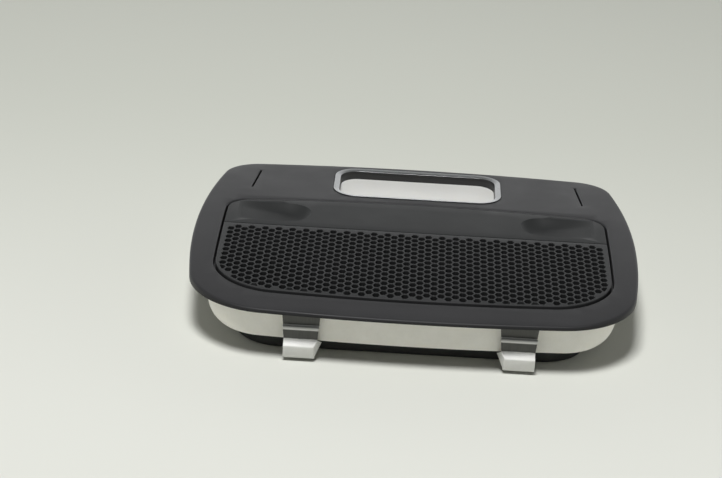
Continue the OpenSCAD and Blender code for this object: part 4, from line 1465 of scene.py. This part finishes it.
@dataclass(frozen=True)
class Housing:
    """Tub with rounded sides and a crisp front edge, its window, posts, clip seats and hooks."""

    face: Face
    floor: float
    wall: float = 2.0
    side_lip: float = 9.0
    front_lip: float = 8.0
    rear_lip: float = 3.0
    front_corner: float = 20.0
    rear_corner: float = 20.0
    round_w: float = 9.0
    round_h: float = 13.0
    heel: float = 0.5
    window: RoundRect = RoundRect(middle=(0, -7), width=150, length=124, corner=8)
    boss_d: float = 8.0
    boss_top: float = 17.0
    cover_boss_top: float = 12.0
    board_post_top: float = 12.2
    board_post_d: float = 7.0
    board_screw_d: float = 3.0
    board_screw_foot: float = 9.6
    head_seat: float = 12.6
    recess_d: float = 6.2
    bore_d: float = 3.4
    screw_lift: float = 0.7
    screws: tuple[Point, ...] = BEZEL_SCREWS
    cover_screws: tuple[Point, ...] = ((76, -70), (-76, -70), (76, 56), (-76, 56))
    board_posts: tuple[Point, ...] = ((80, -51.5), (-80, -51.5), (80, 15), (-80, 15), (33, 70.6), (-33, 70.6))
    clip_x: float = 53.0
    seat_w: float = 18.5
    seat_out: float = 0.8
    seat_low: float = 17.5
    seat_corner: float = 0.3
    stud_d: float = 3.0
    stud_h: float = 1.4
    stud_root: float = 0.6
    hook_x: float = 52.0
    hook_w: float = 12.0
    hook_l: float = 2.4
    hook_low: float = 17.3
    hook_h: float = 4.0
    hook_corner: float = 0.5

    def plan(self, reach: float) -> Outline:
        """Outline of the tub, narrower by the given reach on each side."""
        face, low, high = self.face, self.face.low, self.face.high
        length = high[1] - low[1] - self.front_lip - self.rear_lip
        return Outline(2 * (high[0] - self.side_lip - reach), length, low[1] + self.front_lip, face.front_bow,
                       face.rear_bow, face.side_bow, self.front_corner, self.rear_corner, face.wide_line)

    def body(self, inset: float, low: float, high: float) -> Shell:
        """Makes a closed body of the tub's form.

        Args:
            inset: How far it is drawn in.
            low: Height at which it is cut off below.
            high: Height at which it is cut off above.

        Returns:
            The body.
        """
        shell = Shell()
        steps = rounding_steps(self.heel, count=3) + rounding_steps(self.round_h, count=14)[1:]
        levels = sorted({low, high, *(self.floor + d for d in steps if low < self.floor + d < high)})
        rings = []
        for z in levels:
            reach = rounding(z - self.floor, self.round_h, self.round_w)
            heel = 0.0 if inset else rounding(z - self.floor, self.heel, self.heel)
            rings.append(shell.ring(self.plan(reach).points(inset + heel), z))
        shell.solid(rings)
        return shell

    @property
    def seat_y(self) -> float:
        """Front face of the clips' seats."""
        return self.face.front_edge(self.clip_x) + self.front_lip - self.seat_out

    def rear_line(self, x: float) -> float:
        """Rear wall of the tub at a distance x from its middle."""
        bow = self.face.rear_bow
        return self.face.high[1] - self.rear_lip - bow + math.sqrt(bow**2 - x * x)

    def additions(self) -> Shell:
        """Posts, clip seats and hooks."""
        shell, root = Shell(), self.floor + self.wall / 2
        for posts, width, low, high in (
            (self.screws, self.boss_d, root + self.screw_lift, self.boss_top),
            (self.cover_screws, self.boss_d, root, self.cover_boss_top),
            (self.board_posts, self.board_post_d, root, self.board_post_top),
        ):
            for post in posts:
                shell.prism(circle(post, width / 2), low, high)
        seat_y = self.seat_y + self.seat_out + self.wall / 2
        hook_y = self.rear_line(self.hook_x) + (self.hook_l - self.wall) / 2
        for side in Side:
            seat = RoundRect((side.value * self.clip_x, seat_y), self.seat_w, 2 * self.seat_out + self.wall,
                             self.seat_corner, steps=3)
            shell.prism(seat.points(), self.seat_low, self.face.back)
            hook = RoundRect((side.value * self.hook_x, hook_y), self.hook_w, self.hook_l + self.wall,
                             self.hook_corner, steps=3)
            shell.prism(hook.points(), self.hook_low, self.hook_low + self.hook_h)
        return shell

    def cuts(self) -> Shell:
        """Window and screw holes."""
        shell, below = Shell(), self.floor - OVER
        shell.prism(self.window.points(), below, self.cover_boss_top + OVER)
        for hole in self.screws:
            shell.screw_hole(hole, self.recess_d, self.bore_d, (below, self.head_seat, self.boss_top + OVER))
        for holes, low, high in (
            (self.cover_screws, below, self.cover_boss_top),
            (self.board_posts, self.board_screw_foot, self.board_post_top),
        ):
            for hole in holes:
                shell.prism(circle(hole, self.board_screw_d / 2, steps=32), low, high + OVER)
        return shell

    def studs(self) -> Shell:
        """Studs that hold the clips."""
        shell = Shell()
        z = (self.seat_low + self.face.back) / 2
        section = circle((0, 0), self.stud_d / 2, steps=32)
        for side in Side:
            x = side.value * self.clip_x
            ends = (self.seat_y + self.stud_root, self.seat_y - self.stud_h)
            shell.bar(*[[(x + u, y, z + v) for u, v in section] for y in ends])
        return shell

    def build(self) -> bpy.types.Object:
        """Builds the housing."""
        tub = self.body(0, self.floor, self.face.back).build("lamp_housing_moulding")
        carve(tub, None, self.body(self.wall, self.floor + self.wall, self.face.back + OVER))
        carve(tub, self.additions(), self.cuts())
        carve(tub, self.studs(), None)
        return tub


@dataclass(frozen=True)
class LowerCover:
    """Lower cover with soft edges, its screw posts and the slot for the connector's neck."""

    plan: RoundRect
    low: float
    high: float
    wall: float = 2.0
    edge: float = 1.2
    post_d: float = 8.0
    recess_d: float = 6.2
    head_seat: float = 3.0
    bore_d: float = 3.4
    inset: float = 12.0
    neck_w: float = 28.0
    neck_h: float = 3.0
    neck_z: float = 4.3

    def screws(self) -> list[Point]:
        """Places of the four screws."""
        half_w, half_l = self.plan.width / 2 - self.inset, self.plan.length / 2 - self.inset
        return [(x * half_w, self.plan.middle[1] + y * half_l) for x in (-1, 1) for y in (-1, 1)]

    def build(self) -> bpy.types.Object:
        """Builds the cover."""
        outer = Shell()
        rings = [outer.ring(self.plan.points(d), self.low + rounding(d, self.edge, self.edge))
                 for d in reversed(rounding_steps(self.edge, count=5))]
        rings.append(outer.ring(self.plan.points(), self.high))
        outer.solid(rings)
        cover = outer.build("lower_cover_moulding")
        hollow = Shell()
        hollow.prism(self.plan.points(self.wall), self.low + self.wall, self.high + OVER)
        carve(cover, None, hollow)
        posts, cuts = Shell(), Shell()
        for screw in self.screws():
            posts.prism(circle(screw, self.post_d / 2), self.low + self.wall / 2, self.high)
            levels = (self.low - OVER, self.head_seat, self.high + OVER)
            cuts.screw_hole(screw, self.recess_d, self.bore_d, levels)
        rear = self.plan.middle[1] + self.plan.length / 2
        neck = RoundRect((0, rear - self.wall / 2), self.neck_w, self.wall + OVER, corner=0.01, steps=1)
        cuts.prism(neck.points(), self.neck_z - self.neck_h / 2, self.neck_z + self.neck_h / 2)
        carve(cover, posts, cuts)
        return cover


@dataclass(frozen=True)
class SpringClip:
    """Clip folded from sheet steel: a hairpin on its seat, a jogged leg and a wedge foot."""

    face: Face
    foot_z: float
    x: float = 53.0
    width: float = 16.5
    sheet: float = 0.8
    leg_y: float = 4.5
    jog_y: float = 3.3
    waist_y: float = 3.7
    foot_y: float = 1.0
    seat_y: float = 7.2
    foot_h: float = 5.9
    facet_h: float = 2.8
    waist_h: float = 6.3
    jog_h: float = 0.8
    foot_l: float = 6.4
    splay: float = 3.4
    flare: float = 1.2
    bend: float = 0.45
    top_bend: float = 1.0
    top_bend_inside: float = 0.3
    seat_low: float = 17.5
    hole_d: float = 3.6
    hole_gap: float = 0.4
    edge: float = 0.12

    def outer_side(self, z: float) -> float:
        """Outer edge of the sheet at a height, wider towards the top."""
        waist = self.levels()[1]
        return self.width / 2 + self.flare * max(0.0, z - waist) / (self.face.back - waist)

    def inner_side(self, y: float, z: float) -> float:
        """Inner edge of the sheet at a distance behind the bezel's edge and a height."""
        if z > self.levels()[1]:
            return -self.outer_side(z)
        return -self.width / 2 + max(0.0, self.splay * (self.waist_y - y) / self.foot_l)

    def cheek_side(self, y: float) -> float:
        """Inner cheek's outer face at a distance behind the bezel's edge."""
        return -self.width / 2 + self.splay * (self.waist_y - y) / self.foot_l

    def levels(self) -> tuple[float, float, float, float]:
        """Heights of the facet's lower edge, the waist, the jog and the leg."""
        facet = self.foot_z + self.foot_h
        waist = facet + self.facet_h
        jog = waist + self.waist_h
        return facet, waist, jog, jog + self.jog_h

    def profile(self) -> list[Point]:
        """Closed section of the folded sheet, as distances behind the bezel's edge and heights."""
        facet, waist, jog, leg = self.levels()
        top, t = self.face.back, self.sheet
        outside = filleted(
            [(self.foot_y, self.foot_z), (self.foot_y, facet), (self.waist_y, waist), (self.jog_y, jog),
             (self.leg_y, leg), (self.leg_y, top), (self.seat_y, top), (self.seat_y, self.seat_low)],
            [self.bend] * 4 + [self.top_bend] * 2,
        )
        inside = filleted(
            [(self.seat_y - t, self.seat_low), (self.seat_y - t, top - t), (self.leg_y + t, top - t),
             (self.leg_y + t, leg), (self.jog_y + t, jog), (self.waist_y + t, waist),
             (self.foot_y + t, facet), (self.foot_y + t, self.foot_z)],
            [self.top_bend_inside] * 2 + [self.bend] * 4,
        )
        return outside + inside

    def build(self, name: str) -> bpy.types.Object:
        """Builds the right clip."""
        edge_y = self.face.front_edge(self.x)
        section = self.profile()
        strip = Shell()
        strip.bar(*[[(self.x + side(y, z), edge_y + y, z) for y, z in section]
                    for side in (self.inner_side, lambda y, z: self.outer_side(z))])
        clip = strip.build(name)
        facet, waist, _, _ = self.levels()
        # The cheeks' front lies a hair inside the strip, so that no two faces fall together
        front = self.foot_y + 0.02
        wedge = [(front, self.foot_z), (front, facet - 0.1), (self.waist_y - 0.05, waist - 0.15),
                 (self.foot_y + self.foot_l, facet)]
        cheeks = Shell()
        for near, far in ((self.cheek_side, lambda y: self.cheek_side(y) + self.sheet),
                          (lambda y: self.width / 2 - self.sheet, lambda y: self.width / 2)):
            cheeks.bar(*[[(self.x + side(y), edge_y + y, z) for y, z in wedge] for side in (near, far)])
        hole, z = Shell(), (self.seat_low + self.face.back) / 2
        round_hole = circle((0, 0), self.hole_d / 2, steps=32)
        ends = (self.leg_y + self.sheet + self.hole_gap, self.seat_y + OVER)
        hole.bar(*[[(self.x + u, edge_y + y, z + v) for u, v in round_hole] for y in ends])
        carve(clip, cheeks, hole)
        soften(clip, self.edge, sharp=40.0)
        return clip


class Dressing(Enum):
    """Nodes that keep their CAD mesh, their finish and the rounding of their edges in millimetres."""

    FRAME = (("insert_frame",), FRAME_ABS, 0.2)
    # The diffuser's near-black colour is painted shade inside the grille's cells
    DIFFUSER = (("light_diffuser",), DIFFUSER_ACRYLIC, 0.2)
    TRAY = (("reflector_tray",), REFLECTOR_ABS, 0.2)
    PIN = (("pivot_pin",), PIN_STEEL, 0.2)
    BRACKET = (("rocker_bracket",), BRACKET_NYLON, 0.2)
    SCREWS = (("bracket_screws", "board_screws", "housing_screws", "cover_screws"), SCREW_ZINC, 0.15)
    PLUNGERS = (("left_plunger", "right_plunger"), PLUNGER_ACETAL, 0.3)
    SWITCHES = (("left_switch", "right_switch"), SWITCH_PBT, 0.2)
    BOARDS = (("circuit_board", "pocket_board"), BOARD_FR4, 0.0)
    LEDS = (("reading_leds", "pocket_leds"), LED_PHOSPHOR, 0.15)
    CHIPS = (("driver_chips",), CHIP_EPOXY, 0.2)
    JUMPER = (("board_jumper",), JUMPER_POLYIMIDE, 0.0)
    WELL = (("pocket_well",), WELL_ABS, 0.15)
    LENS = (("pocket_lens",), LENS_OPAL, 0.25)
    SEALS = (("left_mic_seal", "right_mic_seal"), SEAL_FOAM, 0.0)
    MICROPHONES = (("left_microphone", "right_microphone"), CAPSULE_ALUMINIUM, 0.3)
    CONNECTOR = (("connector_shell",), CONNECTOR_PBT, 0.2)
    CONTACTS = (("connector_pins",), PIN_BRASS, 0.08)


def dress_cad_nodes() -> None:
    """Dresses the CAD nodes that keep their own mesh, and softens their edges with modifiers."""
    for entry in Dressing:
        nodes, finish, width = entry.value
        for node in nodes:
            obj = frame["nodes"][node]
            WARDROBE.dress(obj, finish)
            if width:
                weld = obj.modifiers.new("weld", "WELD")
                weld.merge_threshold = 1e-6
                add_bevel(obj, width, sharp=40.0)
                normals = obj.modifiers.new("normals", "WEIGHTED_NORMAL")
                normals.keep_sharp = True
            log.info("%s dressed in %s", node, finish.name)


@dataclass(frozen=True)
class Studio:
    """Pale floor, soft light and the camera at the photograph's viewing angle."""

    floor_colour: str = "#cfd0c9"
    # Darker colour far behind the part: painted shade
    floor_far_colour: str = "#c0c2b9"
    horizon_colour: str = "#d8d9d9"
    front_colour: str = "#6a6b6b"
    ceiling_colour: str = "#333333"
    room_strength: float = 2.2
    wall_reach: Point = (-0.5, 0.5)
    ceiling_reach: Point = (0.24, 0.5)
    lamp_size_m: float = 0.5
    lamp_watts: float = 37.0
    lamp_at_m: Point3 = (-0.15, -0.43, 1.82)
    floor_size_m: float = 8.0
    floor_run_m: Point = (-0.2, 0.3)
    floor_roughness: float = 0.85
    floor_specular: float = 0.2
    picture: tuple[int, int] = (722, 478)
    focal_px: float = 2100.0
    sensor_mm: float = 36.0
    depression: float = 23.523
    roll: float = 2.879
    yaw: float = 1.311
    distance_mm: float = 1008.0
    anchor_px: Point = (411.04, 318.12)
    anchor_mm: Point3 = (0.0, -99.0, 28.2)

    def camera(self) -> None:
        """Adds the camera: a known point of the part falls on a known pixel of the picture."""
        down, roll, yaw = (math.radians(a) for a in (self.depression, self.roll, self.yaw))
        forward = Vector((0, math.cos(down), -math.sin(down)))
        level = Vector((1, 0, 0))
        upright = level.cross(forward)
        right = math.cos(roll) * level + math.sin(roll) * upright
        up = -math.sin(roll) * level + math.cos(roll) * upright
        aside = (self.anchor_px[0] - self.picture[0] / 2) / self.focal_px
        above = -(self.anchor_px[1] - self.picture[1] / 2) / self.focal_px
        turn = Matrix.Rotation(yaw, 3, "Z")
        eye = Vector(self.anchor_mm) - turn @ (self.distance_mm * (forward + aside * right + above * up))
        axes = Matrix([turn @ right, turn @ up, turn @ -forward]).transposed()
        data = bpy.data.cameras.new("camera")
        data.sensor_width = self.sensor_mm
        data.lens = self.focal_px * self.sensor_mm / self.picture[0]
        data.clip_start = 0.01
        camera = add_object("camera", data)
        camera.matrix_world = Matrix.Translation(eye * MM) @ axes.to_4x4()
        bpy.context.scene.camera = camera

    def floor(self) -> None:
        """Adds the floor, whose colour falls off a little towards the rear as painted shade."""
        shell, half = Shell(), self.floor_size_m / 2 / MM
        shell.lid(shell.ring([(-half, -half), (half, -half), (half, half), (-half, half)], 0.0))
        floor = shell.build("floor")
        material, tree, where = new_tree("matte_paper_floor")
        along = add_node(tree, "SeparateXYZ", links={0: where}).outputs["Y"]
        share = span(tree, along, self.floor_run_m)
        share.node.interpolation_type = "SMOOTHSTEP"
        tint = blend(tree, share, self.floor_colour, self.floor_far_colour)
        settings = {"Roughness": self.floor_roughness, "Specular IOR Level": self.floor_specular}
        finished(material, settings, {"Base Color": tint})
        floor.data.materials.append(material)

    def lamp(self) -> None:
        """Adds the one soft square lamp, high over the front edge."""
        data = bpy.data.lights.new("ceiling_panel", "AREA")
        data.size = self.lamp_size_m
        data.energy = self.lamp_watts
        lamp = add_object("ceiling_panel", data)
        lamp.location = self.lamp_at_m
        lamp.rotation_euler = (-Vector(self.lamp_at_m)).to_track_quat("-Z", "Y").to_euler()

    def room(self) -> None:
        """Adds the world's even light: pale walls behind, dim ones in front and a dark ceiling."""
        world = bpy.data.worlds.new("soft_room")
        world.use_nodes = True
        tree = world.node_tree
        tree.nodes.clear()
        way = add_node(tree, "SeparateXYZ", links={0: add_node(tree, "TexCoord").outputs["Generated"]})
        behind = span(tree, way.outputs["Y"], self.wall_reach)
        walls = blend(tree, behind, self.front_colour, self.horizon_colour)
        tint = blend(tree, span(tree, way.outputs["Z"], self.ceiling_reach), walls, self.ceiling_colour)
        background = add_node(tree, "Background", {"Strength": self.room_strength}, {"Color": tint})
        add_node(tree, "OutputWorld", links={"Surface": background.outputs[0]})
        bpy.context.scene.world = world

    def build(self) -> None:
        """Builds the studio."""
        self.camera()
        self.floor()
        self.lamp()
        self.room()
        bpy.context.scene.view_settings.view_transform = "Standard"


def footprint(node: str, corner: float, gap: float = 0.0) -> RoundRect:
    """Takes the outline of a CAD node from its box.

    Args:
        node: Name of the node.
        corner: Radius of its corners.
        gap: How far the outline is widened.

    Returns:
        The outline.
    """
    low, high = millimetres(node)
    middle = ((low[0] + high[0]) / 2, (low[1] + high[1]) / 2)
    return RoundRect(middle, high[0] - low[0] + 2 * gap, high[1] - low[1] + 2 * gap, corner + gap)


@dataclass(frozen=True)
class Slits:
    """The two microphone slits, each over the middle of its seal."""

    width: float = 0.9
    length: float = 28.0
    corner: float = 0.1
    lean: float = 5.5

    def outlines(self) -> tuple[RoundRect, ...]:
        """Outlines of the slits."""
        return tuple(
            RoundRect(footprint(node, 0.0).middle, self.width, self.length, self.corner,
                      side.value * math.radians(self.lean), 2)
            for side, node in ((Side.LEFT, "left_mic_seal"), (Side.RIGHT, "right_mic_seal"))
        )


# Corner radii of the ring and the cover, and the gap around the ring
RING_CORNER, RING_GAP = 13.0, 0.1
COVER_CORNER = 24.0


def main() -> None:
    """Builds the studio, then the part's pieces, from the face down."""
    logging.basicConfig(level=logging.INFO, format="%(message)s")
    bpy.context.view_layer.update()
    Studio().build()
    face = read_face()
    key_front, key_rear = (corner[1] for corner in millimetres("rocker_key"))
    insert = face.insert_plan(key_rear + face.groove)
    pocket = footprint("pocket_ring", RING_CORNER, RING_GAP)
    place(Bezel(face, insert, pocket, Slits().outlines()).build(), "bezel", BEZEL_ABS)
    place(Grille(face, insert, key_front - face.seam).build(), "louvre_grille", GRILLE_ABS)
    place(RockerKey(face, insert, key_front).build(), "rocker_key", KEY_ABS)
    place(PocketRing(face, footprint("pocket_ring", RING_CORNER)).build(), "pocket_ring", RING_CHROME)
    place(Housing(face, millimetres("lamp_housing")[0][2]).build(), "lamp_housing", HOUSING_PP)
    low, high = (corner[2] for corner in millimetres("lower_cover"))
    cover = LowerCover(footprint("lower_cover", COVER_CORNER), low, high)
    # The cover's near-black colour is painted shade under the tub
    place(cover.build(), "lower_cover", COVER_PP_PAINTED_SHADE)
    right_clip = SpringClip(face, millimetres("right_clip")[0][2]).build("right_clip_folded")
    left_clip = mirrored(right_clip, "left_clip_folded")
    place(right_clip, "right_clip", CLIP_STEEL)
    place(left_clip, "left_clip", CLIP_STEEL)
    dress_cad_nodes()


if __name__ == "__main__":
    main()
